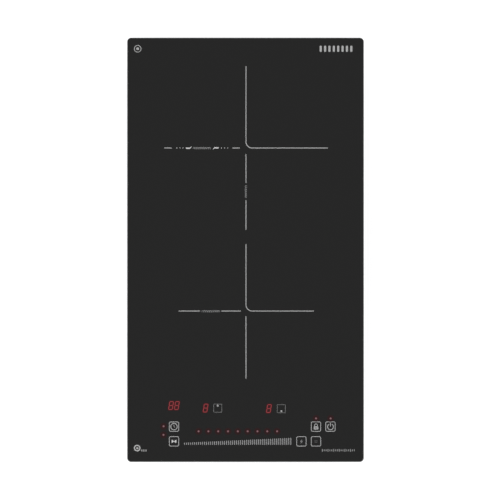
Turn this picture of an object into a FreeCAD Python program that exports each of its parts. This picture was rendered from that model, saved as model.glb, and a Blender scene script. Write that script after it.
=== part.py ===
"""Two-zone induction hob for a standard 270 x 500 mm worktop cut-out, as a parametric assembly.

The origin is the centre of the glass on the worktop's surface. +Y points away from the user and
+Z points up. Every size is a cell of the sheet, in millimetres or degrees.
"""
import FreeCAD, Part
import math
import os
import re

import Sketcher
from FreeCAD import Placement, Rotation, Vector

DIMENSIONS = {
    "Every cut": {
        "cut_over": 1,
    },
    "Glass and its seal": {
        "glass_width": 290,
        "glass_length": 520,
        "glass_thick": 4,
        "glass_corner": 5,
        "glass_bevel": 0.8,
        "glass_under_bevel": 0.4,
        "seal_height": 2,
        "seal_inset": 3,
        "cutout_width": 270,
        "cutout_length": 500,
        "cutout_corner": 4,
        "bead_high": 0.8,
        "bead_wide": 3,
        "bead_inset": 0.6,
    },
    "Steel casing": {
        "sheet_thick": 0.8,
        "pan_width": 266,
        "pan_length": 496,
        "pan_depth": 50,
        "pan_rim": 1,
        "pan_corner": 8,
        "pan_fold": 2,
        "frame_gap": 0.2,
        "flange_wide": 4,
        "flange_round": 1,
        "skirt_deep": 10.4,
        "foot_size": 9,
        "foot_high": 3,
        "foot_across": 119,
        "foot_along": 234,
        "rib_wide": 6,
        "rib_long": 150,
        "rib_high": 1.2,
        "rib_across": 98,
        "round_short": 0.1,
        "vent_wide": 3,
        "vent_tall": 16,
        "vent_pitch": 8,
        "vent_low": 34,
        "front_vents": 15,
        "side_vents": 12,
        "floor_vents": 9,
        "floor_vents_along": -168,
        "grille_size": 37,
        "grille_slot": 5.2,
        "grille_pitch": 8,
        "plate_label_wide": 60,
        "plate_label_long": 40,
        "plate_label_thick": 0.2,
        "plate_label_round": 2,
        "plate_label_across": 50,
        "plate_label_along": -75,
    },
    "Screws": {
        "screw_size": 1.6,
        "screw_hole": 1.75,
        "screw_head": 3.4,
        "screw_head_high": 1.5,
        "screw_long": 6,
        "screw_recess": 0.8,
        "screw_level": 5,
        "side_screw_step": 190,
        "screw_point": 0.5,
        "screw_taper": 2,
        "screw_crown": 1,
        "cross_wide": 1,
        "cross_long": 4,
        "board_screw_long": 4.5,
        "board_screw_head": 3,
        "board_screw_rim": 1,
        "board_screw_crown": 2.2,
        "board_screw_slot": 1,
    },
    "Spring clips": {
        "clip_thick": 0.7,
        "clip_wide": 16,
        "clip_along": 150,
        "clip_root_in": 3.1,
        "clip_hook_top": 12,
        "clip_bend": 14,
        "clip_stand": 0.6,
        "clip_bulge": 4.6,
        "clip_bulge_low": 34,
        "clip_tip": 1,
        "clip_tip_low": 44,
        "clip_tip_drop": 0.65,
        "clip_bulge_thick": 0.77,
        "clip_foot": 2.2,
        "clip_foot_drop": 0.6,
        "clip_foot_thick": 0.75,
        "clip_window_over": 1,
        "clip_slot_wide": 17,
        "clip_slot_top": 13,
        "clip_slot_low": 15.4,
        "clip_window_top": 33,
        "clip_window_low": 47,
    },
    "Coils": {
        "rear_coil_size": 94,
        "front_coil_size": 76,
        "rear_zone_along": 124.6,
        "front_zone_along": -75.4,
        "zone_across": 0.6,
        "mica_thick": 0.5,
        "mica_over": 3,
        "coil_hole": 22,
        "coil_top": 1.2,
        "coil_base": 3,
        "coil_turns": 12,
        "coil_gap_start": 5,
        "coil_gap_end": 6,
        "coil_side_in": 1,
        "coil_ribbing": 0.35,
        "former_thick": 3,
        "former_over": 2,
        "former_rim_gap": 0.5,
        "former_rim_drop": 0.5,
        "hub_size": 17,
        "hub_drop": 0.5,
        "hub_clear": 3,
        "sensor_size": 8,
        "sensor_top": 1.2,
        "sensor_long": 12,
        "sensor_gap": 0.3,
        "sensor_bevel": 1,
        "sensor_wall": 1.5,
        "sensor_web": 3,
        "ferrite_wide": 13,
        "ferrite_thick": 5,
        "ferrite_start": 26,
        "ferrite_margin": 4,
        "ferrite_turn": 22.5,
        "rear_ferrites": 8,
        "front_ferrites": 6,
        "lug_reach": 6,
        "lug_size": 5,
        "lug_hole": 2.5,
        "guide_size": 2,
        "guide_head": 4,
        "guide_head_high": 2,
        "guide_gap": 0.3,
        "guide_bevel": 0.4,
        "guide_slot_deep": 0.8,
        "guide_slot_wide": 1,
        "spring_coil": 3.3,
        "spring_wire": 0.4,
        "spring_pitch": 2.2,
        "shield_top": 16,
        "shield_thick": 1.5,
        "shield_width": 254,
        "shield_front": -160,
        "shield_rear": 232,
        "tab_front": -110,
        "tab_rear": 90,
        "tab_wide": 30,
        "tab_drop": 14,
        "tab_screw_low": 24,
        "lead_size": 2.2,
        "lead_across": 30,
        "lead_apart": 7,
        "lead_end_across": 22,
        "lead_end_apart": 5,
        "lead_end_along": 8,
        "lead_front_shift": 16,
        "lead_eye_apart": 11,
        "lead_drop_start": 6.5,
        "lead_drop_bend": 9,
        "lead_drop_end": 11,
        "lead_bend_share": 0.55,
    },
    "Blower": {
        "blower_across": -75,
        "blower_along": 165,
        "scroll_size": 43,
        "scroll_wall": 1.5,
        "blower_floor": 49.2,
        "blower_roof": 23.2,
        "cover_thick": 1.5,
        "inlet_size": 27,
        "inlet_rim": 4,
        "outlet_wide": 42,
        "outlet_reach": 53,
        "rotor_size": 33,
        "rotor_inner": 25.5,
        "rotor_low": 46,
        "rotor_plate_low": 30,
        "rotor_plate_thick": 1.5,
        "blade_count": 24,
        "blade_thick": 0.9,
        "blade_lean": 1.44,
        "blade_tip_in": 0.3,
        "rotor_rim_high": 1.2,
        "rotor_rim_wide": 1.2,
        "cup_size": 17,
        "cup_wall": 1.2,
        "stator_size": 14.5,
        "stator_low": 42,
        "stator_poles": 6,
        "pole_gap_long": 7.25,
        "pole_gap_wide": 2.4,
        "pole_gap_from": 11.6,
        "pole_gap_top": 3,
        "bearing_size": 4,
        "shaft_size": 1.5,
        "shaft_gap": 0.05,
        "shaft_clear": 1,
        "duct_long": 45,
        "duct_wide_end": 56,
        "duct_high_end": 23,
        "duct_wall": 1.5,
        "duct_lift": 1,
    },
    "Power electronics": {
        "board_thick": 1.6,
        "board_top": 42.6,
        "power_board_width": 240,
        "power_board_length": 186,
        "power_board_along": -20,
        "standoff_size": 3.5,
        "standoff_across": 112,
        "standoff_along": 85,
        "standoff_hole_deep": 4,
        "standoff_hole_gap": 0.05,
        "sink_across": -80,
        "sink_width": 50,
        "sink_length": 168,
        "sink_high": 22,
        "sink_base": 5,
        "sink_fin": 1.6,
        "sink_pitch": 5.375,
        "sink_fins": 10,
        "chip_wide": 16,
        "chip_thick": 5,
        "chip_tall": 15,
        "chip_leg": 1.2,
        "chip_leg_long": 4,
        "chip_pitch": 32,
        "chip_shift": 10,
        "chip_hole": 1.7,
        "chip_hole_down": 3.5,
        "chip_leg_pitch": 5,
        "bridge_thick": 5,
        "bridge_wide": 28,
        "bridge_tall": 15,
        "bridge_leg_long": 4,
        "bridge_leg_thick": 0.8,
        "bridge_leg_wide": 1.2,
        "bridge_leg_pitch": 7,
        "bridge_back": 68,
        "film_wide": 14,
        "film_long": 32,
        "film_high": 22,
        "film_round": 1.5,
        "film_across_left": -20,
        "film_across_right": -2,
        "film_rear": 30,
        "film_front": -20,
        "filter_film_across": 48,
        "can_size": 8,
        "can_high": 21,
        "can_groove": 0.5,
        "can_groove_low": 2,
        "can_bevel": 0.8,
        "can_across": 60,
        "can_pitch": 20,
        "can_count": 3,
        "can_back": 70,
        "core_wide": 30,
        "core_long": 26,
        "core_high": 20,
        "core_foot": 3,
        "core_across": 70,
        "core_back": 25,
        "bobbin_inset": 8,
        "bobbin_round": 3,
        "filter_width": 108,
        "filter_length": 80,
        "filter_across": 64,
        "filter_along": 142,
        "filter_hole_in": 5,
        "filter_parts_along": 134,
        "choke_size": 15,
        "choke_tube": 5.5,
        "choke_base": 2,
        "choke_base_size": 36,
        "choke_base_round": 3,
        "choke_top": 16,
        "choke_swell": 1,
        "choke_round": 2,
        "choke_gap": 3,
        "choke_across": 84,
        "fuse_size": 3,
        "fuse_long": 20,
        "fuse_cap_long": 6,
        "fuse_cap_over": 0.3,
        "fuse_axis": 4.9,
        "fuse_base": 2,
        "fuse_base_long": 28,
        "fuse_base_wide": 8,
        "fuse_across": 26,
    },
    "Touch control": {
        "tray_width": 236,
        "tray_length": 62,
        "tray_along": -211,
        "tray_top": 1.9,
        "tray_low": 12,
        "tray_wall": 1.5,
        "tray_leg": 4,
        "tray_leg_across": 105,
        "tray_leg_along": 22,
        "control_board_width": 228,
        "control_board_length": 54,
        "control_board_top": 5.4,
        "control_post": 2.5,
        "post_level": 0.75,
        "digit_wide": 14,
        "digit_long": 18,
        "timer_wide": 22,
        "digit_high": 6.6,
        "digit_recess": 0.4,
        "digit_rim": 1.5,
        "timer_across": -88,
        "timer_along": -192,
        "rear_digit_across": -48.5,
        "front_digit_across": 28.7,
        "digit_along": -194,
        "lamp_size": 1.2,
        "lamp_high": 6,
        "lamp_rim": 0.3,
        "lamp_rim_high": 0.8,
        "lamp_dome": 1,
        "lamp_start": -57.6,
        "lamp_pitch": 12.03,
        "lamp_count": 9,
        "lamp_along": -222.3,
        "side_lamp_across": -100.4,
        "side_lamp_pitch": 10.5,
        "key_lamp_up": 10,
        "touch_size": 4,
        "touch_high": 7,
        "touch_wire": 0.4,
        "touch_pitch": 1.4,
        "slider_springs": 5,
        "left_key_across": -87.6,
        "key_upper_along": -216.6,
        "key_lower_along": -232,
        "lock_key_across": 86.4,
        "power_key_across": 104.4,
        "boost_key_across": 68.5,
        "ribbon_wide": 20,
        "ribbon_thick": 1,
        "ribbon_front": -191,
        "ribbon_rear": -104,
        "ribbon_top": 8,
        "ribbon_level": 26.2,
        "ribbon_plug": 6,
        "ribbon_slot_over": 4,
        "ribbon_slot_wide": 6,
        "ribbon_slot_along": 20,
    },
    "Mains terminal": {
        "box_across": 66,
        "box_width": 80,
        "box_front": 200,
        "box_rear": 247,
        "box_wall": 1.6,
        "box_top": 27.2,
        "door_gap_wide": 66,
        "door_gap_front": 206,
        "door_gap_rear": 239,
        "door_width": 72,
        "door_thick": 1.4,
        "door_round": 1.5,
        "door_hinge_inset": 0.2,
        "latch_wide": 6,
        "latch_thick": 1.2,
        "latch_high": 2,
        "latch_across": 20,
        "latch_inset": 2.2,
        "door_front": 203.4,
        "door_rear": 242.5,
        "door_clear": 0.3,
        "knuckle_size": 1.3,
        "knuckle_bore": 0.65,
        "knuckle_long": 8,
        "knuckle_gap": 0.4,
        "knuckle_across": 22,
        "knuckle_overlap": 1,
        "hinge_pin_size": 0.6,
        "hinge_along": 201.2,
        "hinge_low": 51.5,
        "hinge_ear": 3,
        "block_width": 52,
        "block_length": 20,
        "block_high": 15,
        "block_along": 221,
        "block_across": 60,
        "wire_hole": 2,
        "wire_hole_drop": 1.5,
        "block_poles": 4,
        "block_pitch": 12,
        "pole_size": 2.6,
        "pole_gap": 0.3,
        "pole_recess": 1,
        "pole_slot": 0.8,
        "gland_across": 88,
        "gland_low": 38.5,
        "gland_bore": 5.25,
        "gland_neck": 7,
        "gland_hole": 7.3,
        "gland_flange": 9,
        "gland_flange_thick": 2,
        "gland_nut_thick": 3,
        "gland_inner_start": 240,
        "mains_lead_size": 1.4,
        "mains_lead_level": -35.3,
        "mains_lead_reach": 30,
        "mains_lead_dip": 9,
        "mains_lead_bend": 6,
        "mains_lead_step": 1,
        "mains_lead_end": 3,
    },
}

doc = FreeCAD.newDocument("InductionHob")
nodes = []


def make_sheet():
    """The spreadsheet that drives the model: a name, a value and its alias on each row."""
    sheet = doc.addObject("Spreadsheet::Sheet", "Dims")
    row = 1
    for heading, cells in DIMENSIONS.items():
        sheet.set(f"A{row}", heading)
        row += 1
        for name, number in cells.items():
            sheet.set(f"A{row}", name.replace("_", " "))
            sheet.set(f"B{row}", str(number))
            sheet.setAlias(f"B{row}", name)
            row += 1
    doc.recompute()
    return sheet


dims = make_sheet()


def spelled(text):
    """An expression in which each alias names the sheet it comes from."""
    return re.sub(r"\b([a-z]+(?:_[a-z]+)+)\b", r"Dims.\1", str(text))


def value(text):
    """What an expression in the sheet's aliases comes to."""
    return float(dims.evalExpression(str(text)))


def bind(target, name, text):
    target.setExpression(name, spelled(text))


def place(target, at, axis=(0, 0, 1), turn=0):
    """Turn an object about an axis and move it to a place given by three expressions."""
    target.Placement = Placement(Vector(0, 0, 0), Rotation(Vector(*axis), turn))
    for letter, text in zip("xyz", at):
        bind(target, f"Placement.Base.{letter}", text)


# Outlines: each one is drawn into a sketch, fully constrained by expressions.

def corners(points):
    """A closed outline of straight lines through the points."""
    return lambda sketch: draw_corners(sketch, points)


def rect(width, length, x=0, y=0):
    """A rectangle centred on x, y."""
    low_x, high_x = f"{x} - ({width}) / 2", f"{x} + ({width}) / 2"
    low_y, high_y = f"{y} - ({length}) / 2", f"{y} + ({length}) / 2"
    return corners([(low_x, low_y), (high_x, low_y), (high_x, high_y), (low_x, high_y)])


def span(low_x, high_x, low_y, high_y):
    """A rectangle between two limits each way."""
    return corners([(low_x, low_y), (high_x, low_y), (high_x, high_y), (low_x, high_y)])


def disc(radius, x=0, y=0):
    return lambda sketch: draw_disc(sketch, radius, x, y)


def soft_rect(width, length, radius, x=0, y=0):
    """A rectangle with four round corners, centred on x, y."""
    return lambda sketch: draw_soft_rect(sketch, width, length, radius, x, y)


def fix(sketch, kind, where, text):
    """A dimension of the sketch that follows an expression; a plain zero lies on the axis."""
    if kind in ("DistanceX", "DistanceY") and abs(value(text)) < 1e-9:
        axis = -2 if kind == "DistanceX" else -1
        sketch.addConstraint(Sketcher.Constraint("PointOnObject", where[-2], where[-1], axis))
        return
    index = sketch.addConstraint(Sketcher.Constraint(kind, *where, value(text)))
    sketch.setExpression(f"Constraints[{index}]", spelled(text))


def draw_corners(sketch, points):
    first = sketch.GeometryCount
    count = len(points)
    spots = [Vector(value(x), value(y), 0) for x, y in points]
    for k in range(count):
        sketch.addGeometry(Part.LineSegment(spots[k], spots[(k + 1) % count]), False)
    for k in range(count):
        join = Sketcher.Constraint("Coincident", first + k, 2, first + (k + 1) % count, 1)
        sketch.addConstraint(join)
    for k, (x, y) in enumerate(points):
        fix(sketch, "DistanceX", (-1, 1, first + k, 1), x)
        fix(sketch, "DistanceY", (-1, 1, first + k, 1), y)


def draw_disc(sketch, radius, x, y):
    index = sketch.addGeometry(
        Part.Circle(Vector(value(x), value(y), 0), Vector(0, 0, 1), value(radius)), False)
    fix(sketch, "Radius", (index,), radius)
    fix(sketch, "DistanceX", (-1, 1, index, 3), x)
    fix(sketch, "DistanceY", (-1, 1, index, 3), y)


def draw_soft_rect(sketch, width, length, radius, x, y):
    """Four corner arcs and the four lines between them, going round anticlockwise."""
    first = sketch.GeometryCount
    size = value(radius)
    centres = []
    for side_x, side_y in ((1, 1), (-1, 1), (-1, -1), (1, -1)):
        centres.append((f"{x} + {side_x} * (({width}) / 2 - ({radius}))",
                        f"{y} + {side_y} * (({length}) / 2 - ({radius}))"))
    spots = [Vector(value(text_x), value(text_y), 0) for text_x, text_y in centres]
    for k, spot in enumerate(spots):
        start = k * math.pi / 2
        circle = Part.Circle(spot, Vector(0, 0, 1), size)
        sketch.addGeometry(Part.ArcOfCircle(circle, start, start + math.pi / 2), False)
    for k in range(4):
        ending = sketch.Geometry[first + k].EndPoint
        starting = sketch.Geometry[first + (k + 1) % 4].StartPoint
        sketch.addGeometry(Part.LineSegment(ending, starting), False)
    for k in range(4):
        line = first + 4 + k
        sketch.addConstraint(Sketcher.Constraint("Tangent", first + k, 2, line, 1))
        sketch.addConstraint(Sketcher.Constraint("Tangent", line, 2, first + (k + 1) % 4, 1))
    for k in range(3):
        sketch.addConstraint(Sketcher.Constraint("Equal", first + k, first + k + 1))
    fix(sketch, "Radius", (first,), radius)
    for k in (0, 2):
        fix(sketch, "DistanceX", (-1, 1, first + k, 3), centres[k][0])
        fix(sketch, "DistanceY", (-1, 1, first + k, 3), centres[k][1])
    fix(sketch, "DistanceY", (-1, 1, first + 1, 3), centres[1][1])


class Piece:
    """A PartDesign body that grows by one feature at a time.

    A plane is XY, XZ or YZ. Its level is where it cuts the third axis, and pads and cuts go from
    there towards that axis's positive end.
    """

    def __init__(self, name, keep=True, refine=True):
        self.refine = refine
        self.body = doc.addObject("PartDesign::Body", name)
        self.body.Label = name
        self.features = 0
        if keep:
            nodes.append(self.body)

    def origin(self, role):
        return [item for item in self.body.Origin.OriginFeatures if item.Role == role][0]

    def named(self, kind):
        self.features += 1
        return f"{self.body.Name}_{kind}_{self.features}"

    def feature(self, kind):
        made = self.body.newObject(f"PartDesign::{kind}", self.named(kind))
        if hasattr(made, "Refine"):
            made.Refine = self.refine
        return made

    def sketch(self, plane, level, outlines):
        sketch = self.body.newObject("Sketcher::SketchObject", self.named("Sketch"))
        sketch.AttachmentSupport = [(self.origin(f"{plane}_Plane"), "")]
        sketch.MapMode = "FlatFace"
        bind(sketch, "AttachmentOffset.Base.z", f"-({level})" if plane == "XZ" else level)
        for outline in outlines:
            outline(sketch)
        return sketch

    def volume(self):
        doc.recompute()
        return self.body.Shape.Volume if self.body.Tip else 0.0

    def check(self, before, grows, name):
        after = self.volume()
        if (after - before) * grows <= 0:
            raise ValueError(f"{name} changed nothing")

    def pad(self, plane, level, depth, *outlines):
        """Material from the level on, to the given depth."""
        before = self.volume()
        sketch = self.sketch(plane, level, outlines)
        pad = self.feature("Pad")
        pad.Profile = (sketch, [""])
        pad.Reversed = plane == "XZ"
        bind(pad, "Length", depth)
        self.check(before, 1, pad.Name)
        return pad

    def cut(self, plane, level, depth, *outlines):
        """A pocket from the level on, to the given depth."""
        before = self.volume()
        sketch = self.sketch(plane, level, outlines)
        pocket = self.feature("Pocket")
        pocket.Profile = (sketch, [""])
        pocket.Reversed = plane != "XZ"
        bind(pocket, "Length", depth)
        self.check(before, -1, pocket.Name)
        return pocket

    def turn(self, *outlines):
        """A body of revolution about Z, from outlines drawn in X and Z."""
        before = self.volume()
        sketch = self.sketch("XZ", 0, outlines)
        revolution = self.feature("Revolution")
        revolution.Profile = (sketch, [""])
        revolution.ReferenceAxis = (sketch, ["V_Axis"])
        revolution.Angle = 360
        self.check(before, 1, revolution.Name)
        return revolution

    def helix(self, radius, wire, pitch, height):
        """A round wire wound about Z."""
        sketch = self.sketch("XZ", 0, [disc(wire, radius, 0)])
        helix = self.feature("AdditiveHelix")
        helix.Profile = (sketch, [""])
        helix.ReferenceAxis = (sketch, ["V_Axis"])
        helix.Mode = 0
        bind(helix, "Pitch", pitch)
        bind(helix, "Height", height)
        doc.recompute()
        return helix

    def loft(self, stations):
        """A solid through outlines at several levels of the XZ plane."""
        sketches = [self.sketch("XZ", level, [outline]) for level, outline in stations]
        loft = self.feature("AdditiveLoft")
        loft.Profile = (sketches[0], [""])
        loft.Sections = [(sketch, [""]) for sketch in sketches[1:]]
        doc.recompute()
        return loft

    def cut_loft(self, stations):
        """A hollow through outlines at several levels of the XZ plane."""
        before = self.volume()
        sketches = [self.sketch("XZ", level, [outline]) for level, outline in stations]
        loft = self.feature("SubtractiveLoft")
        loft.Profile = (sketches[0], [""])
        loft.Sections = [(sketch, [""]) for sketch in sketches[1:]]
        self.check(before, -1, loft.Name)
        return loft

    def edges(self, wanted):
        shape = self.body.Tip.Shape
        return [f"Edge{k + 1}" for k, edge in enumerate(shape.Edges) if wanted(edge)]

    def soften(self, kind, size, wanted):
        """A Fillet or Chamfer on the edges for which wanted is true."""
        doc.recompute()
        base = self.body.Tip
        names = self.edges(wanted)
        feature = self.feature(kind)
        feature.Base = (base, names)
        bind(feature, "Radius" if kind == "Fillet" else "Size", size)
        doc.recompute()
        return feature

    def around(self, originals, count, angle=360):
        """Copies of features turned about Z."""
        before = self.volume()
        pattern = self.feature("PolarPattern")
        pattern.Originals = originals
        pattern.Axis = (self.origin("Z_Axis"), [""])
        pattern.Angle = angle
        bind(pattern, "Occurrences", count)
        self.body.Tip = pattern
        self.check(before, math.copysign(1, self.volume() - before), pattern.Name)
        return pattern

    def row(self, originals, axis, count, pitch):
        """Copies of features at a fixed pitch along an axis."""
        before = self.volume()
        pattern = self.feature("LinearPattern")
        pattern.Originals = originals
        pattern.Direction = (self.origin(f"{axis}_Axis"), [""])
        bind(pattern, "Length", f"({count} - 1) * {pitch}")
        bind(pattern, "Occurrences", count)
        self.body.Tip = pattern
        self.check(before, math.copysign(1, self.volume() - before), pattern.Name)
        return pattern

def copies(name, master, spots):
    """One node made of copies of a master piece; a spot is a place, then an axis and an angle."""
    links = []
    for k, (at, axis, turn) in enumerate(spots):
        link = doc.addObject("App::Link", f"{name}_link_{k + 1}")
        link.LinkedObject = master.body
        place(link, at, axis, turn)
        links.append(link)
    group = doc.addObject("Part::Compound", name)
    group.Label = name
    group.Links = links
    nodes.append(group)
    return group


def upright(at):
    return (at, (0, 0, 1), 0)


def made_shape(name, shape):
    """A node whose shape comes from Part's own functions."""
    piece = doc.addObject("Part::Feature", name)
    piece.Shape = shape
    piece.Label = name
    nodes.append(piece)
    return piece


def rounded_path(points):
    """A wire of straight runs through the points, joined by tangent arcs."""
    points = [Vector(*point) for point in points]
    edges = []
    start = points[0]
    for before, corner, after in zip(points, points[1:], points[2:]):
        back = (before - corner).normalize()
        ahead = (after - corner).normalize()
        half = (math.pi - back.getAngle(ahead)) / 2
        reach = 0.45 * min((before - corner).Length, (after - corner).Length)
        entry = corner + back * reach
        leave = corner + ahead * reach
        radius = reach / math.tan(half)
        middle = corner + (back + ahead).normalize() * (radius / math.cos(half) - radius)
        if entry.distanceToPoint(start) > 1e-6:
            edges.append(Part.LineSegment(start, entry).toShape())
        edges.append(Part.Arc(entry, middle, leave).toShape())
        start = leave
    edges.append(Part.LineSegment(start, points[-1]).toShape())
    return Part.Wire(edges)


def tube(points, radius):
    """A round lead along a rounded path."""
    path = rounded_path(points)
    ahead = path.Edges[0].tangentAt(path.Edges[0].FirstParameter)
    ring = Part.Wire([Part.Circle(Vector(*points[0]), ahead, radius).toShape()])
    solid = path.makePipeShell([ring], True, False)
    expected = math.pi * radius ** 2 * path.Length
    if abs(solid.Volume - expected) > 0.02 * expected:
        raise ValueError("a lead's volume is not its section times its length")
    return solid


def is_upright(edge):
    ahead = edge.tangentAt(edge.FirstParameter)
    return abs(ahead.z) > 0.99 and len(edge.Vertexes) == 2


def at_level(level):
    """True for edges that lie flat at one height."""
    height = value(level)
    return lambda edge: max(abs(edge.BoundBox.ZMin - height), abs(edge.BoundBox.ZMax - height)) < 1e-6


def ring_piece(name, level, height, outer, inner):
    piece = Piece(name)
    piece.pad("XY", level, height, outer, inner)
    return piece


# The glass, and what lies between it and the worktop.

def glass_top():
    glass = Piece("glass_top")
    glass.pad("XY", "seal_height", "glass_thick",
              soft_rect("glass_width", "glass_length", "glass_corner"))
    glass.soften("Chamfer", "glass_bevel", at_level("seal_height + glass_thick"))
    glass.soften("Chamfer", "glass_under_bevel", at_level("seal_height"))


def worktop_seal():
    ring_piece("worktop_seal", 0, "seal_height",
               soft_rect("glass_width - 2 * seal_inset", "glass_length - 2 * seal_inset", "cutout_corner"),
               soft_rect("cutout_width", "cutout_length", "cutout_corner"))


def support_frame():
    """An angle ring glued under the glass, which hangs the casing from it."""
    width = "pan_width - 2 * (sheet_thick + frame_gap)"
    length = "pan_length - 2 * (sheet_thick + frame_gap)"
    radius = "pan_corner - sheet_thick - frame_gap"
    top = "seal_height - bead_high"
    frame = ring_piece("support_frame", f"{top} - skirt_deep", "skirt_deep",
                       soft_rect(width, length, radius),
                       soft_rect(f"{width} - 2 * sheet_thick", f"{length} - 2 * sheet_thick",
                                 f"{radius} - sheet_thick"))
    frame.pad("XY", f"{top} - sheet_thick", "sheet_thick",
              soft_rect(width, length, radius),
              soft_rect(f"{width} - 2 * flange_wide", f"{length} - 2 * flange_wide",
                        f"{radius} - sheet_thick - flange_round"))
    for along in screw_rows():
        frame.cut("YZ", "-pan_width", "2 * pan_width", disc("screw_hole", along, "-screw_level"))
    frame.cut("XZ", "-pan_length", "2 * pan_length", disc("screw_hole", 0, "-screw_level"))
    ring_piece("adhesive_bead", top, "bead_high",
               soft_rect(f"{width} - 2 * bead_inset", f"{length} - 2 * bead_inset",
                         f"{radius} - bead_inset"),
               soft_rect(f"{width} - 2 * (bead_inset + bead_wide)",
                         f"{length} - 2 * (bead_inset + bead_wide)",
                         f"{radius} - bead_inset - bead_wide"))


def screw_rows():
    """Where the casing's side screws sit along Y."""
    return ["-side_screw_step", "0", "side_screw_step"]


# The casing: one pressed steel tray with its vents, feet, slots and holes.

def base_pan():
    pan = Piece("base_pan", refine=False)
    pan.pad("XY", "-pan_depth", "pan_depth + pan_rim",
            soft_rect("pan_width", "pan_length", "pan_corner"))
    pan.soften("Fillet", "pan_fold", at_level("-pan_depth"))
    pan.cut("XY", "-pan_depth + sheet_thick", "pan_depth + pan_rim",
            soft_rect("pan_width - 2 * sheet_thick", "pan_length - 2 * sheet_thick",
                      "pan_corner - sheet_thick"))
    press_feet_and_ribs(pan)
    hinge_ears(pan)
    cut_walls(pan)
    cut_floor(pan)


def press_feet_and_ribs(pan):
    """Four hollow feet pressed down and two ribs pressed up, each one sheet thick."""
    spots = [(f"{side} * foot_across", f"{end} * foot_along") for side in (-1, 1) for end in (-1, 1)]
    pan.pad("XY", "-pan_depth - foot_high", "foot_high + sheet_thick / 2",
            *[disc("foot_size", x, y) for x, y in spots])
    pan.cut("XY", "-pan_depth - foot_high + sheet_thick", "foot_high",
            *[disc("foot_size - sheet_thick", x, y) for x, y in spots])
    ribs = [(f"{side} * rib_across", "power_board_along") for side in (-1, 1)]
    pan.pad("XY", "-pan_depth + sheet_thick / 2", "sheet_thick / 2 + rib_high",
            *[soft_rect("rib_wide", "rib_long", "rib_wide / 2 - round_short", x, y) for x, y in ribs])
    groove = "rib_wide - 2 * sheet_thick"
    pan.cut("XY", "-pan_depth - cut_over", "cut_over + rib_high",
            *[soft_rect(groove, "rib_long - 2 * sheet_thick", f"({groove}) / 2 - round_short", x, y)
              for x, y in ribs])


def hinge_ears(pan):
    """Four small ears under the floor that hold the pins of the terminal cover."""
    ears = []
    for side in (-1, 1):
        for reach in (-1, 1):
            across = (f"box_across + {side} * knuckle_across + {reach} * "
                      "(knuckle_long / 2 + knuckle_gap + hinge_ear / 2)")
            ears.append(rect("hinge_ear", "2 * knuckle_size", across, "hinge_along"))
    pan.pad("XY", "-hinge_low - knuckle_size", "hinge_low + knuckle_size - pan_depth", *ears)
    pan.cut("YZ", "box_across - door_width / 2", "door_width",
            disc("hinge_pin_size", "hinge_along", "-hinge_low"))


def vent(along, level):
    return soft_rect("vent_wide", "vent_tall", "vent_wide / 2 - round_short", along, level)


def cut_walls(pan):
    """Screw holes and clip slots through both side walls, vents in three walls, and the gland's hole."""
    outlines = [disc("screw_hole", along, "-screw_level") for along in screw_rows()]
    outlines += [disc("screw_hole", along, "-tab_screw_low") for along in ("tab_front", "tab_rear")]
    for end in (-1, 1):
        centre = f"{end} * clip_along"
        half = "clip_slot_wide / 2"
        outlines.append(span(f"{centre} - {half}", f"{centre} + {half}",
                             "-clip_slot_low", "-clip_slot_top"))
        outlines.append(span(f"{centre} - {half} - clip_window_over",
                             f"{centre} + {half} + clip_window_over",
                             "-clip_window_low", "-clip_window_top"))
    pan.cut("YZ", "-pan_width", "2 * pan_width", *outlines)
    pan.cut("XZ", "-pan_length", "2 * pan_length", disc("screw_hole", 0, "-screw_level"))
    pan.cut("XZ", "pan_length / 2 - sheet_thick - cut_over", "sheet_thick + 2 * cut_over",
            disc("gland_hole", "gland_across", "-gland_low"))
    side = pan.cut("YZ", "-pan_width", "2 * pan_width",
                   vent("-(side_vents - 1) * vent_pitch / 2", "-vent_low"))
    pan.row([side], "Y", "side_vents", "vent_pitch")
    front = pan.cut("XZ", "-pan_length / 2 - cut_over", "sheet_thick + 2 * cut_over",
                    vent("-(front_vents - 1) * vent_pitch / 2", "-vent_low"))
    pan.row([front], "X", "front_vents", "vent_pitch")


def cut_floor(pan):
    """The blower's round grille, a row of vents, and the opening into the terminal box."""
    outlines = [span("box_across - door_gap_wide / 2", "box_across + door_gap_wide / 2",
                     "door_gap_front", "door_gap_rear")]
    for k in range(-4, 5):
        chord = f"2 * sqrt(grille_size ^ 2 - ({k} * grille_pitch) ^ 2)"
        outlines.append(soft_rect(chord, "grille_slot", "grille_slot / 2 - round_short",
                                  "blower_across", f"blower_along + {k} * grille_pitch"))
    through = ("-pan_depth - cut_over", "sheet_thick + 2 * cut_over")
    pan.cut("XY", *through, *outlines)
    floor = pan.cut("XY", *through,
                    vent("-(floor_vents - 1) * vent_pitch / 2", "floor_vents_along"))
    pan.row([floor], "X", "floor_vents", "vent_pitch")


def rating_plate():
    """A blank metal plate on the underside."""
    plate = Piece("rating_plate")
    plate.pad("XY", "-pan_depth - plate_label_thick", "plate_label_thick",
              soft_rect("plate_label_wide", "plate_label_long", "plate_label_round",
                        "plate_label_across", "plate_label_along"))


def self_tapping_screw():
    """A pan-head screw along Z, its head's underside at zero and its shank going down."""
    screw = Piece("screw_master", keep=False)
    screw.turn(corners([(0, "-screw_long"), ("screw_size / 3", "-screw_long + screw_point"),
                        ("screw_size", "-screw_long + screw_taper"), ("screw_size", 0),
                        ("screw_head", 0), ("screw_head", "screw_head_high / 2"),
                        ("screw_head - screw_crown", "screw_head_high"), (0, "screw_head_high")]))
    for wide, long in (("cross_wide", "cross_long"), ("cross_long", "cross_wide")):
        screw.cut("XY", "screw_head_high - screw_recess", "2 * screw_recess", rect(wide, long))
    return screw


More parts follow.
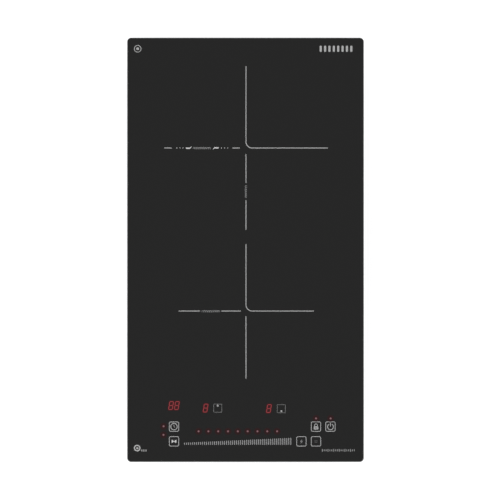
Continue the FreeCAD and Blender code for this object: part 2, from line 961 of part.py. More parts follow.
def pan_screws(screw):
    """The screws through the casing's walls, into the support frame and the shield plate."""
    spots = []
    for side in (-1, 1):
        wall = f"{side} * pan_width / 2"
        for along in screw_rows():
            spots.append(((wall, along, "-screw_level"), (0, 1, 0), side * 90))
        for along in ("tab_front", "tab_rear"):
            spots.append(((wall, along, "-tab_screw_low"), (0, 1, 0), side * 90))
        spots.append(((0, f"{side} * pan_length / 2", "-screw_level"), (1, 0, 0), side * -90))
    copies("pan_screws", screw, spots)


def spring_clips():
    """Four leaf springs that press on the worktop's cut edge, each hooked through a casing slot."""
    for end, end_name in ((-1, "front"), (1, "rear")):
        for side, side_name in ((-1, "left"), (1, "right")):
            clip = Piece(f"spring_clip_{end_name}_{side_name}")
            clip.pad("XZ", "-clip_wide / 2", "clip_wide", corners(clip_outline()))
            turn = 0 if side > 0 else 180
            place(clip.body, (f"{side} * pan_width / 2", f"{end} * clip_along", 0), (0, 0, 1), turn)


def clip_outline():
    """The bent strip's edge, out from the wall and up, inner side first."""
    hook = "-clip_root_in"
    foot = "clip_tip - clip_foot"
    inner = [(hook, "-clip_hook_top"), (hook, "-clip_bend - clip_thick / 2"),
             ("clip_stand", "-clip_bend - clip_thick / 2"), ("clip_bulge", "-clip_bulge_low"),
             ("clip_tip", "-clip_tip_low"), (foot, "-clip_tip_low - clip_foot_drop")]
    outer = [(foot, "-clip_tip_low - clip_foot_drop - clip_foot_thick"),
             ("clip_tip + clip_thick", "-clip_tip_low - clip_tip_drop"),
             ("clip_bulge + clip_bulge_thick", "-clip_bulge_low"),
             ("clip_stand + clip_thick", "-clip_bend + clip_thick / 2"),
             (f"{hook} + clip_thick", "-clip_bend + clip_thick / 2"),
             (f"{hook} + clip_thick", "-clip_hook_top")]
    return inner + outer


# The coils: each one floats on three springs and is pressed up towards the glass.

def coil_names():
    """Each coil's name, outer radius, place along Y, count of ferrites and first lug's angle."""
    return [("rear", "rear_coil_size", "rear_zone_along", "rear_ferrites", 90),
            ("front", "front_coil_size", "front_zone_along", "front_ferrites", 270)]


def lug_spot(size, along, k, first):
    """Where a coil's lug and its guide screw stand."""
    angle = first + 120 * k
    reach = f"({size} + lug_reach)"
    return (f"zone_across + {reach} * cos({angle} deg)", f"{along} + {reach} * sin({angle} deg)")


def coils():
    guides, springs = [], {}
    for name, size, along, ferrites, first in coil_names():
        mica_sheet(name, size, along)
        coil_former(name, size, along, first)
        coil_winding(name, size, along)
        ferrite_bars(name, size, along, ferrites)
        coil_sensor(name, along)
        spots = [lug_spot(size, along, k, first) for k in range(3)]
        guides += [upright((x, y, "-shield_top")) for x, y in spots]
        springs[name] = [upright((x, y, "-shield_top + spring_wire")) for x, y in spots]
    spring = Piece("coil_spring_master", keep=False)
    spring.helix("spring_coil", "spring_wire", "spring_pitch",
                 "shield_top - coil_base - former_thick - 2 * spring_wire")
    for name, spots in springs.items():
        copies(f"{name}_coil_springs", spring, spots)
    copies("coil_guide_screws", guide_screw(), guides)


def mica_sheet(name, size, along):
    sheet = Piece(f"{name}_mica_sheet")
    sheet.pad("XY", "seal_height - mica_thick", "mica_thick", disc(f"{size} + mica_over"))
    place(sheet.body, ("zone_across", along, 0))


def coil_former(name, size, along, first):
    """A plastic plate with a hub, a low rim and three lugs for the guides."""
    former = Piece(f"{name}_coil_former")
    low = "-coil_base - former_thick"
    rim = f"{size} + former_over"
    eye = disc("sensor_size + sensor_gap")
    former.pad("XY", low, "former_thick", disc(rim), eye)
    former.pad("XY", "-coil_base", "coil_base + coil_top - hub_drop", disc("hub_size"), eye)
    former.pad("XY", "-coil_base", "coil_base - former_rim_drop", disc(rim),
               disc(f"{size} + former_rim_gap"))
    reach = f"{size} + lug_reach"
    lug = former.pad("XY", low, "former_thick", disc("lug_size", reach, 0))
    neck = former.pad("XY", low, "former_thick",
                      rect("2 * lug_size", "2 * lug_size", f"{reach} - lug_size", 0))
    former.around([lug, neck], 3)
    hole = former.cut("XY", f"{low} - cut_over", "former_thick + 2 * cut_over", disc("lug_hole", reach, 0))
    former.around([hole], 3)
    place(former.body, ("zone_across", along, 0), (0, 0, 1), first)


def coil_winding(name, size, along):
    """The wound copper, in two concentric packs with a gap between them, its top lightly ribbed."""
    winding = Piece(f"{name}_coil_winding")
    pitch = f"({size} - coil_hole) / coil_turns"
    shoulder = "coil_top - coil_ribbing"
    counts = [int(value(text)) for text in ("coil_gap_start", "coil_gap_end", "coil_turns")]
    for first_turn, last_turn in ((0, counts[0]), (counts[1], counts[2])):
        points = [(f"coil_hole + {first_turn} * {pitch} + coil_side_in", "-coil_base")]
        for k in range(first_turn, last_turn):
            points.append((f"coil_hole + {k} * {pitch} + coil_side_in", shoulder))
            points.append((f"coil_hole + ({k} + 0.5) * {pitch}", "coil_top"))
        points.append((f"coil_hole + {last_turn} * {pitch} - coil_side_in", shoulder))
        points.append((f"coil_hole + {last_turn} * {pitch} - coil_side_in", "-coil_base"))
        winding.turn(corners(points))
    place(winding.body, ("zone_across", along, 0))


def ferrite_bars(name, size, along, count):
    bars = Piece(f"{name}_ferrite_bars")
    long = f"{size} - ferrite_margin - ferrite_start"
    low = "-coil_base - former_thick - ferrite_thick"
    bar = bars.pad("XY", low, "ferrite_thick",
                   rect(long, "ferrite_wide", f"ferrite_start + ({long}) / 2", 0))
    bars.around([bar], count)
    place(bars.body, ("zone_across", along, 0), (0, 0, 1), value("ferrite_turn"))


def coil_sensor(name, along):
    """The cup in the coil's eye that holds the glass temperature sensor."""
    sensor = Piece(f"{name}_coil_sensor")
    inner = "sensor_size - sensor_wall"
    sensor.turn(corners([(0, "sensor_top"), ("sensor_size - sensor_bevel", "sensor_top"),
                         ("sensor_size", "sensor_top - sensor_bevel"),
                         ("sensor_size", "-sensor_long"), (inner, "-sensor_long"),
                         (inner, "-sensor_web"), (0, "-sensor_web")]))
    place(sensor.body, ("zone_across", along, 0))


def guide_screw():
    """A shoulder screw that stands on the shield plate; its head stops the coil from rising."""
    screw = Piece("guide_screw_master", keep=False)
    top = "shield_top - coil_base + guide_gap"
    head_top = f"{top} + guide_head_high"
    screw.turn(corners([(0, 0), ("guide_size", 0), ("guide_size", top), ("guide_head", top),
                        ("guide_head", f"{head_top} - guide_bevel"),
                        ("guide_head - guide_bevel", head_top), (0, head_top)]))
    screw.cut("XY", f"{head_top} - guide_slot_deep", "guide_slot_deep + cut_over",
              rect("3 * guide_head", "guide_slot_wide"))
    return screw


def shield_plate():
    """The aluminium plate that carries the coils, with four folded tabs screwed to the walls."""
    plate = Piece("shield_plate")
    low = "-shield_top - shield_thick"
    half = "shield_width / 2"
    wall = "pan_width / 2 - sheet_thick"
    plate.pad("XY", low, "shield_thick", span(f"-{half}", half, "shield_front", "shield_rear"))
    for along in ("tab_front", "tab_rear"):
        limits = (f"{along} - tab_wide / 2", f"{along} + tab_wide / 2")
        plate.pad("XY", low, "shield_thick", span(f"-({wall})", wall, *limits))
        for edge in (f"-({wall})", f"{wall} - shield_thick"):
            plate.pad("YZ", edge, "shield_thick",
                      span(*limits, "-shield_top - tab_drop", "-shield_top"))
        plate.cut("YZ", "-pan_width", "2 * pan_width", disc("screw_hole", along, "-tab_screw_low"))
    for _, _, along, _, _ in coil_names():
        plate.cut("XY", f"{low} - cut_over", "shield_thick + 2 * cut_over",
                  disc("hub_size - hub_clear", "zone_across", along))


def coil_leads():
    """The two leads of each coil, from under its former down through the plate's hole to the power board."""
    plate = -value("shield_top")
    for name, _, along, _, _ in coil_names():
        start = value(along)
        shift = value("lead_front_shift") if name == "front" else 0
        leads = []
        for side in (-1, 1):
            eye = value(f"zone_across + {side} * lead_eye_apart")
            across = value(f"zone_across + lead_across + {side} * lead_apart")
            end_across = value(f"zone_across + lead_end_across + {side} * lead_end_apart")
            end_along = value(f"lead_end_along + {side} * lead_end_apart") - shift
            bend = start + value("lead_bend_share") * (end_along - start)
            route = [(eye, start, -value("coil_base + former_thick")),
                     (eye, start, plate - value("lead_drop_start")),
                     (across, bend, plate - value("lead_drop_bend")),
                     (end_across, end_along, plate - value("lead_drop_end")),
                     (end_across, end_along, -value("board_top"))]
            leads.append(tube(route, value("lead_size") / 2))
        made_shape(f"{name}_coil_leads", Part.makeCompound(leads))


# The blower: a volute with an inlet over the casing's grille and a duct to the heat sink.

def blower():
    at = ("blower_across", "blower_along", 0)
    half = "outlet_wide / 2"
    wall = "scroll_wall"
    base = "-blower_floor + cover_thick"
    depth = "blower_floor - cover_thick - blower_roof"
    scroll = Piece("blower_scroll")
    scroll.pad("XY", base, depth, disc("scroll_size"))
    scroll.pad("XY", base, depth, span(f"-{half}", half, "-outlet_reach", 0))
    scroll.cut("XY", base, f"{depth} - {wall}", disc(f"scroll_size - {wall}"))
    scroll.cut("XY", base, f"{depth} - {wall}",
               span(f"-{half} + {wall}", f"{half} - {wall}", "-outlet_reach - cut_over", 0))
    place(scroll.body, at)
    cover = Piece("blower_cover")
    cover.pad("XY", "-blower_floor", "cover_thick", disc("scroll_size"), disc("inlet_size"))
    cover.pad("XY", "-blower_floor", "cover_thick",
              span(f"-{half}", half, "-outlet_reach", "-inlet_size - inlet_rim"))
    place(cover.body, at)
    fan_motor(at)
    fan_rotor(at)
    air_duct()


def fan_motor(at):
    """The stator hangs from the scroll's roof and the bearing tube runs through it."""
    roof = "-blower_roof - scroll_wall"
    bearing = Piece("fan_bearing")
    bearing.pad("XY", "-stator_low", f"{roof} + stator_low", disc("bearing_size"),
                disc("shaft_size + shaft_gap"))
    place(bearing.body, at)
    motor = Piece("fan_motor")
    motor.pad("XY", "-stator_low", f"{roof} + stator_low", disc("stator_size"), disc("bearing_size"))
    gap = motor.cut("XY", "-stator_low - cut_over", f"{roof} + stator_low + cut_over - pole_gap_top",
                    rect("pole_gap_long", "pole_gap_wide", "pole_gap_from", 0))
    motor.around([gap], "stator_poles")
    place(motor.body, at)


def fan_rotor(at):
    """A cup over the stator, a ring plate and the blades that hang from it."""
    rotor = Piece("fan_rotor")
    plate_top = "-rotor_plate_low + rotor_plate_thick"
    inner = "cup_size - cup_wall"
    rotor.turn(corners([("shaft_size", "-rotor_low"), ("cup_size", "-rotor_low"),
                        ("cup_size", "-rotor_plate_low"), ("rotor_size", "-rotor_plate_low"),
                        ("rotor_size", plate_top), (inner, plate_top),
                        (inner, "-rotor_low + cup_wall"), ("shaft_size", "-rotor_low + cup_wall")]))
    # Each blade leans back: its inner end trails its outer end.
    tip = "rotor_size - blade_tip_in"
    blade = rotor.pad("XY", "-rotor_low", "rotor_low - rotor_plate_low",
                      corners([("rotor_inner", "-blade_lean"), (tip, "blade_lean"),
                               (tip, "blade_lean + blade_thick"),
                               ("rotor_inner", "-blade_lean + blade_thick")]))
    rotor.around([blade], "blade_count")
    rotor.pad("XY", "-rotor_low", "rotor_rim_high", disc("rotor_size"),
              disc("rotor_size - rotor_rim_wide"))
    place(rotor.body, at)
    shaft = Piece("fan_shaft")
    shaft.pad("XY", "-rotor_low", "rotor_low - blower_roof - scroll_wall - shaft_clear",
              disc("shaft_size"))
    place(shaft.body, at)


def air_duct():
    """A duct that widens from the blower's outlet to the heat sink."""
    duct = Piece("air_duct")
    middle = "-(blower_floor + blower_roof) / 2"
    start = "blower_along - outlet_reach"
    end = f"{start} - duct_long"
    high = "blower_floor - blower_roof - 2 * cover_thick"
    shift = "sink_across - blower_across"
    level = "-board_top + duct_lift + duct_high_end / 2"
    outer = [(end, rect("duct_wide_end", "duct_high_end", shift, level)),
             (start, rect("outlet_wide", high, 0, middle))]
    wall = "2 * duct_wall"
    inner = [(end, rect(f"duct_wide_end - {wall}", f"duct_high_end - {wall}", shift, level)),
             (start, rect(f"outlet_wide - {wall}", f"{high} - {wall}", 0, middle))]
    duct.loft(outer)
    duct.cut_loft(inner)
    place(duct.body, ("blower_across", 0, 0))


# Power electronics on the casing's floor.

def power_electronics():
    board = Piece("power_board")
    spots = [(f"{side} * standoff_across", f"{end} * standoff_along")
             for side in (-1, 1) for end in (-1, 0, 1)]
    board_with_holes(board, "power_board_width", "power_board_length", spots)
    place(board.body, (0, "power_board_along", 0))
    places = [(x, f"power_board_along + {y}") for x, y in spots] + filter_board()
    standoff = Piece("standoff_master", keep=False)
    foot = "-pan_depth + sheet_thick"
    low = "-board_top - board_thick"
    standoff.pad("XY", foot, f"{low} - ({foot})", disc("standoff_size"))
    standoff.cut("XY", f"{low} - standoff_hole_deep", "standoff_hole_deep + cut_over",
                 disc("screw_size + standoff_hole_gap"))
    copies("board_standoffs", standoff, [upright((x, y, 0)) for x, y in places])
    short = Piece("board_screw_master", keep=False)
    short.turn(corners([(0, "-board_screw_long"), ("screw_size", "-board_screw_long"),
                        ("screw_size", 0), ("board_screw_head", 0),
                        ("board_screw_head", "board_screw_rim"),
                        ("board_screw_crown", "screw_head_high"), (0, "screw_head_high")]))
    short.cut("XY", "board_screw_rim", "cut_over", rect("board_screw_slot", "2 * screw_head"))
    copies("board_screws", short, [upright((x, y, "-board_top")) for x, y in places])
    heatsink()
    switches()
    energy_stores()
    mains_filter()


def board_with_holes(board, width, length, spots):
    """A circuit board at the height that both boards share, with its screw holes."""
    low = "-board_top - board_thick"
    board.pad("XY", low, "board_thick", rect(width, length))
    board.cut("XY", f"{low} - cut_over", "board_thick + 2 * cut_over",
              *[disc("screw_hole", x, y) for x, y in spots])


def filter_board():
    board = Piece("filter_board")
    spots = [(f"{side} * (filter_width / 2 - filter_hole_in)",
              f"{end} * (filter_length / 2 - filter_hole_in)")
             for side in (-1, 1) for end in (-1, 1)]
    board_with_holes(board, "filter_width", "filter_length", spots)
    place(board.body, ("filter_across", "filter_along", 0))
    return [(f"filter_across + {x}", f"filter_along + {y}") for x, y in spots]


def heatsink():
    sink = Piece("heatsink")
    sink.pad("XY", 0, "sink_base", rect("sink_width", "sink_length"))
    fin = sink.pad("XY", "sink_base", "sink_high - sink_base",
                   rect("sink_fin", "sink_length", "-(sink_width - sink_fin) / 2", 0))
    sink.row([fin], "X", "sink_fins", "sink_pitch")
    place(sink.body, ("sink_across", "power_board_along", "-board_top"))


def switches():
    """Four power transistors and a bridge rectifier, upright against the heat sink."""
    chip = Piece("chip_master", keep=False)
    chip.pad("XY", "chip_leg_long", "chip_tall", rect("chip_thick", "chip_wide"))
    chip.cut("YZ", "-chip_thick", "2 * chip_thick",
             disc("chip_hole", 0, "chip_leg_long + chip_tall - chip_hole_down"))
    for k in (-1, 0, 1):
        chip.pad("XY", 0, "chip_leg_long",
                 rect("chip_leg / 2", "chip_leg", 0, f"{k} * chip_leg_pitch"))
    side = "sink_across + (sink_width + chip_thick) / 2"
    row = [(side, f"power_board_along + {k} * chip_pitch - chip_shift", "-board_top")
           for k in (-1, 0, 1, 2)]
    copies("power_transistors", chip, [upright(at) for at in row])
    bridge = Piece("bridge_rectifier")
    bridge.pad("XY", "bridge_leg_long", "bridge_tall", rect("bridge_thick", "bridge_wide"))
    for k in (-1.5, -0.5, 0.5, 1.5):
        bridge.pad("XY", 0, "bridge_leg_long",
                   rect("bridge_leg_thick", "bridge_leg_wide", 0, f"{k} * bridge_leg_pitch"))
    place(bridge.body, (side, "power_board_along - bridge_back", "-board_top"))


def energy_stores():
    """The capacitors and the small transformer that feeds the control."""
    film = Piece("film_capacitor_master", keep=False)
    film.pad("XY", 0, "film_high", soft_rect("film_wide", "film_long", "film_round"))
    film.soften("Fillet", "film_round / 2", at_level("film_high"))
    spots = [(across, f"power_board_along + {along}") for along in ("film_rear", "film_front")
             for across in ("film_across_left", "film_across_right")]
    spots.append(("filter_film_across", "filter_parts_along"))
    copies("film_capacitors", film, [upright((x, y, "-board_top")) for x, y in spots])
    can = Piece("electrolytic_master", keep=False)
    neck = "can_groove_low + can_groove"
    can.turn(corners([(0, 0), ("can_size", 0), ("can_size", "can_groove_low"),
                      ("can_size - can_groove", neck), ("can_size", f"{neck} + can_groove"),
                      ("can_size", "can_high - can_bevel"), ("can_size - can_bevel", "can_high"),
                      (0, "can_high")]))
    row = [(f"can_across + {k} * can_pitch", "power_board_along - can_back", "-board_top")
           for k in range(int(value("can_count")))]
    copies("electrolytic_capacitors", can, [upright(at) for at in row])
    transformer = Piece("supply_transformer")
    transformer.pad("XY", 0, "core_high", rect("core_wide", "core_long / 2"))
    transformer.pad("XY", "core_foot", "core_high - 2 * core_foot",
                    soft_rect("core_wide - bobbin_inset", "core_long", "bobbin_round"))
    transformer.pad("XY", 0, "core_foot", rect("core_wide", "core_long"))
    place(transformer.body, ("core_across", "power_board_along - core_back", "-board_top"))


def mains_filter():
    choke = Piece("common_mode_choke")
    choke.pad("XY", 0, "choke_base",
              soft_rect("choke_base_size", "choke_base_size", "choke_base_round"))
    inner = "choke_size - choke_tube"
    outer = "choke_size + choke_swell"
    choke.turn(corners([(inner, "choke_base"), ("choke_size", "choke_base"),
                        (outer, "choke_base + choke_round"), (outer, "choke_top - choke_round"),
                        (f"{outer} - choke_round", "choke_top"),
                        (f"{inner} + choke_swell", "choke_top"),
                        (inner, "choke_top - choke_round")]))
    choke.cut("XY", "choke_base", "choke_top", rect("choke_gap", "3 * choke_size", 0, 0))
    place(choke.body, ("choke_across", "filter_parts_along", "-board_top"))
    fuse = Piece("mains_fuse")
    half = "fuse_long / 2"
    fuse.pad("XY", 0, "fuse_base", rect("fuse_base_long", "fuse_base_wide"))
    for start in (f"-{half}", f"{half} - fuse_cap_long"):
        fuse.pad("YZ", start, "fuse_cap_long", disc("fuse_size + fuse_cap_over", 0, "fuse_axis"))
    fuse.pad("YZ", f"-{half}", "fuse_long", disc("fuse_size", 0, "fuse_axis"))
    place(fuse.body, ("fuse_across", "filter_parts_along", "-board_top"), (0, 0, 1), 90)


# The touch control under the front of the glass.

def touch_control():
    tray = Piece("control_tray")
    tray.pad("XY", "-tray_low", "tray_low + tray_top", rect("tray_width", "tray_length"))
    tray.cut("XY", "-tray_low + tray_wall", "tray_low + tray_top",
             rect("tray_width - 2 * tray_wall", "tray_length - 2 * tray_wall"))
    legs = [(f"{side} * tray_leg_across", f"{end} * tray_leg_along")
            for side in (-1, 1) for end in (-1, 1)]
    board_low = "-control_board_top - board_thick"
    floor = "-tray_low + post_level"
    tray.pad("XY", "-pan_depth + sheet_thick", f"{floor} + pan_depth - sheet_thick",
             *[disc("tray_leg", x, y) for x, y in legs])
    tray.pad("XY", floor, f"{board_low} - ({floor})", *[disc("control_post", x, y) for x, y in legs])
    tray.cut("XY", "-tray_low - cut_over", "tray_wall + 2 * cut_over",
             rect("ribbon_wide + ribbon_slot_over", "ribbon_slot_wide", 0, "ribbon_slot_along"))
    place(tray.body, (0, "tray_along", 0))
    board = Piece("control_board")
    board.pad("XY", board_low, "board_thick", rect("control_board_width", "control_board_length"))
    place(board.body, (0, "tray_along", 0))
    displays()
    lamps_and_keys()


def displays():
    """Three seven-segment modules: a two-digit timer and one digit for each zone."""
    timer = Piece("timer_display")
    digit = Piece("digit_master", keep=False)
    for module, wide in ((timer, "timer_wide"), (digit, "digit_wide")):
        module.pad("XY", "-control_board_top", "digit_high", rect(wide, "digit_long"))
        module.cut("XY", "-control_board_top + digit_high - digit_recess", "2 * digit_recess",
                   rect(f"{wide} - 2 * digit_rim", "digit_long - 2 * digit_rim"))
    place(timer.body, ("timer_across", "timer_along", 0))
    copies("zone_displays", digit, [upright(("rear_digit_across", "digit_along", 0)),
                                    upright(("front_digit_across", "digit_along", 0))])


def lamps_and_keys():
    """The light-emitting diodes, and the sprung contacts that sense a finger through the glass."""
    lamp = Piece("lamp_master", keep=False)
    flange = "lamp_size + lamp_rim"
    lamp.turn(corners([(0, 0), (flange, 0), (flange, "lamp_rim_high"),
                       ("lamp_size", "lamp_rim_high"), ("lamp_size", "lamp_high - lamp_dome"),
                       ("lamp_size / 2", "lamp_high"), (0, "lamp_high")]))
    top = "-control_board_top"
    spots = [(f"lamp_start + {k} * lamp_pitch", "lamp_along") for k in range(int(value("lamp_count")))]
    spots += [("side_lamp_across", "key_upper_along"),
              ("side_lamp_across", "key_upper_along - side_lamp_pitch"),
              ("lock_key_across", "key_upper_along + key_lamp_up"),
              ("power_key_across", "key_upper_along + key_lamp_up")]
    copies("indicator_lamps", lamp, [upright((x, y, top)) for x, y in spots])
    contact = Piece("touch_spring_master", keep=False)
    contact.helix("touch_size", "touch_wire", "touch_pitch", "touch_high - 2 * touch_wire")
    keys = [("left_key_across", "key_upper_along"), ("left_key_across", "key_lower_along"),
            ("lock_key_across", "key_upper_along"), ("power_key_across", "key_upper_along"),
            ("boost_key_across", "key_lower_along"), ("lock_key_across", "key_lower_along")]
    keys += [(f"lamp_start + {k} * 2 * lamp_pitch", "key_lower_along")
             for k in range(int(value("slider_springs")))]
    copies("touch_springs", contact, [upright((x, y, f"{top} + touch_wire")) for x, y in keys])


def control_ribbon():
    """The flat cable from the touch control down to the power board."""
    ribbon = Piece("control_ribbon")
    path = [("ribbon_front", "-ribbon_top"), ("ribbon_front", "-ribbon_level"),
            ("ribbon_rear", "-board_top + ribbon_plug"), ("ribbon_rear", "-board_top")]
    back = [(f"{path[3][0]} + ribbon_thick", path[3][1]),
            (f"{path[2][0]} + ribbon_thick", f"{path[2][1]} + ribbon_thick"),
            (f"{path[1][0]} + ribbon_thick", f"{path[1][1]} + ribbon_thick"),
            (f"{path[0][0]} + ribbon_thick", path[0][1])]
    ribbon.pad("YZ", "-ribbon_wide / 2", "ribbon_wide", corners(path + back))


# Mains connection: a closed box at the rear, reached through a hinged cover underneath.

def terminal_box():
    housing = Piece("terminal_housing")
    low = "-pan_depth + sheet_thick"
    left, right = "box_across - box_width / 2", "box_across + box_width / 2"
    tall = "pan_depth - sheet_thick - box_top"
    housing.pad("XY", low, tall, span(left, right, "box_front", "box_rear"))
    housing.cut("XY", f"{low} - cut_over", f"{tall} + cut_over - box_wall",
                span(f"{left} + box_wall", f"{right} - box_wall",
                     "box_front + box_wall", "box_rear - box_wall"))
    housing.cut("XZ", "box_rear - box_wall - cut_over", "box_wall + 2 * cut_over",
                disc("gland_hole", "gland_across", "-gland_low"))
    block = Piece("terminal_block")
    roof = "-box_top - box_wall"
    low = f"{roof} - block_high"
    block.pad("XY", low, "block_high", rect("block_width", "block_length", "block_across", "block_along"))
    poles = [f"block_across + ({k} - (block_poles - 1) / 2) * block_pitch"
             for k in range(int(value("block_poles")))]
    for x in poles:
        block.cut("XY", f"{low} - cut_over", "block_high / 2 + cut_over",
                  disc("pole_size + pole_gap", x, "block_along"))
        block.cut("XZ", "block_along", "block_length",
                  disc("wire_hole", x, f"{roof} - block_high / 2 - wire_hole_drop"))
    screw = Piece("pole_screw_master", keep=False)
    screw.pad("XY", 0, "block_high / 2 - pole_recess", disc("pole_size"))
    screw.cut("XY", "-cut_over", "2 * cut_over", rect("3 * pole_size", "pole_slot"))
    copies("terminal_screws", screw, [upright((x, "block_along", f"{low} + pole_recess")) for x in poles])


def terminal_cover():
    """A flap on two pins, with two latches at its free edge."""
    cover = Piece("terminal_cover")
    low = "-pan_depth - door_clear - door_thick"
    left, right = "box_across - door_width / 2", "box_across + door_width / 2"
    cover.pad("XY", low, "door_thick", span(left, right, "door_front", "door_rear"))
    cover.soften("Fillet", "door_round", is_upright)
    centres = [f"box_across + {side} * knuckle_across" for side in (-1, 1)]
    for centre in centres:
        start = f"{centre} - knuckle_long / 2"
        cover.pad("YZ", start, "knuckle_long", disc("knuckle_size", "hinge_along", "-hinge_low"))
        cover.pad("YZ", start, "knuckle_long",
                  span("hinge_along", "door_front + knuckle_overlap", low,
                       f"{low} + door_thick - door_hinge_inset"))
    cover.cut("YZ", left, "door_width", disc("knuckle_bore", "hinge_along", "-hinge_low"))
    for side in (-1, 1):
        cover.pad("XY", f"{low} + door_thick / 2",
                  "door_thick / 2 + door_clear + sheet_thick + latch_high",
                  rect("latch_wide", "latch_thick", f"box_across + {side} * latch_across",
                       "door_gap_rear - latch_inset"))
    pin = Piece("cover_pin_master", keep=False)
    pin.pad("YZ", "-knuckle_long / 2 - knuckle_gap - hinge_ear",
            "knuckle_long + 2 * knuckle_gap + 2 * hinge_ear", disc("hinge_pin_size"))
    copies("terminal_cover_pins", pin,
           [upright((centre, "hinge_along", "-hinge_low")) for centre in centres])


def cable_gland():
    """A round bush in the rear wall that the supply cord would pass through."""
    gland = Piece("cable_gland")
    start = "gland_inner_start"
    end = "pan_length / 2 + gland_flange_thick"
    inner = "box_rear - box_wall"
    gland.pad("XZ", start, f"{end} - {start}", disc("gland_neck"), disc("gland_bore"))
    gland.pad("XZ", "pan_length / 2", "gland_flange_thick", disc("gland_flange"), disc("gland_bore"))
    gland.pad("XZ", f"{inner} - gland_nut_thick", "gland_nut_thick", disc("gland_flange"),
              disc("gland_bore"))
    place(gland.body, ("gland_across", 0, "-gland_low"))


def mains_leads():
    """Three short wires from the terminal block over to the filter board."""
    leads = []
    step = value("mains_lead_step")
    high = value("mains_lead_level")
    board = -value("board_top")
    rear = value("box_front") - step
    front = value("filter_along + mains_lead_reach")
    for k in (-1, 0, 1):
        x = value(f"box_across + ({k} - 1) * block_pitch")
        end = x - 2 * step
        route = [(x, rear, high), (x - step, rear - value("mains_lead_dip"), high + 2 * step),
                 (end, front + value("mains_lead_bend"), high + step),
                 (end, front, high - 2 * step),
                 (end, front - step, board + value("mains_lead_end")), (end, front - step, board)]
        leads.append(tube(route, value("mains_lead_size")))
    made_shape("mains_leads", Part.makeCompound(leads))


def failures():
    """Every object that did not recompute, and every node whose shape is not sound."""
    faults = [f"{item.Name}: {item.State}" for item in doc.Objects
              if "Invalid" in item.State or "Error" in item.State]
    for node in nodes:
        if node.Shape.isNull() or not node.Shape.isValid() or not node.Shape.Solids:
            faults.append(f"{node.Label}: shape is not sound")
    return faults


def write_nodes():
    os.makedirs("parts", exist_ok=True)
    for node in nodes:
        node.Shape.exportStep(f"parts/{node.Label}.step")


def main():
    screw = self_tapping_screw()
    glass_top()
    worktop_seal()
    support_frame()
    base_pan()
    rating_plate()
    pan_screws(screw)
    spring_clips()
    coils()
    shield_plate()
    coil_leads()
    blower()
    power_electronics()
    touch_control()
    control_ribbon()
    terminal_box()
    terminal_cover()
    cable_gland()
    mains_leads()
    doc.recompute()
    faults = failures()
    if faults:
        raise RuntimeError("\n".join(faults))
    write_nodes()
    print(len(nodes), "nodes written")


main()
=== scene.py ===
"""The finish of an induction hob: print, displays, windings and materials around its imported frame."""
import math

import bmesh
import bpy
from mathutils import Matrix, Vector


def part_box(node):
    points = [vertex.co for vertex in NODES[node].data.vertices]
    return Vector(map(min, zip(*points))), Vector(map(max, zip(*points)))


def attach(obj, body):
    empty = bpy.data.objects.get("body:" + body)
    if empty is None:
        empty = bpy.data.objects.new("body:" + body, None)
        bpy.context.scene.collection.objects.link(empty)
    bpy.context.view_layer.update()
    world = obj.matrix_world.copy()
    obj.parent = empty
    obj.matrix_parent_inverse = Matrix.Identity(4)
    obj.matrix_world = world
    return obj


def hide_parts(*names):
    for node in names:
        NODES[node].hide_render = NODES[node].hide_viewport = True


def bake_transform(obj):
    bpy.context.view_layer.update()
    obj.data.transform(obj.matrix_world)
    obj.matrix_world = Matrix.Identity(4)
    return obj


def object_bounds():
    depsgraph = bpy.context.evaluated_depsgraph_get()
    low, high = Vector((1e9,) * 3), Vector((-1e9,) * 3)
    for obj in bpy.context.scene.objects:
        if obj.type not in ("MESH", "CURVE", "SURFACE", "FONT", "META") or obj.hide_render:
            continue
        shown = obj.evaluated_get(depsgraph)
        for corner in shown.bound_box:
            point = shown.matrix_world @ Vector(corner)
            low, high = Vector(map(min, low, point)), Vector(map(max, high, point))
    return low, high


bl_info = {
    "name": "Induction Hob Finish",
    "version": (1, 0, 0),
    "blender": (4, 5, 0),
    "location": "3D View > Sidebar > Hob",
    "description": "Prints, displays, coil windings and materials of a narrow induction hob",
    "category": "Object",
}

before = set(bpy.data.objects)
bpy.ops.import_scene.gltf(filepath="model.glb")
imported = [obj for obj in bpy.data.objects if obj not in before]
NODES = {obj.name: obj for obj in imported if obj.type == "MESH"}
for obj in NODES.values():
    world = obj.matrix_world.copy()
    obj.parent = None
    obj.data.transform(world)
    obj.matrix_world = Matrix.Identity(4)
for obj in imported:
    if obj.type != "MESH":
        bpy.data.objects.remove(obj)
CAD_LOW, CAD_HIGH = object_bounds()
GLASS_LOW, GLASS_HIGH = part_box("glass_top")
MM = 0.001


def length(name, text, default):
    return bpy.props.FloatProperty(name=name, description=text, default=default, subtype="DISTANCE",
                                   unit="LENGTH", precision=5)


def colour(name, text, default):
    return bpy.props.FloatVectorProperty(name=name, description=text, default=default,
                                         subtype="COLOR", size=3, min=0.0, max=1.0)


def amount(name, text, default):
    return bpy.props.FloatProperty(name=name, description=text, default=default, min=0.0)


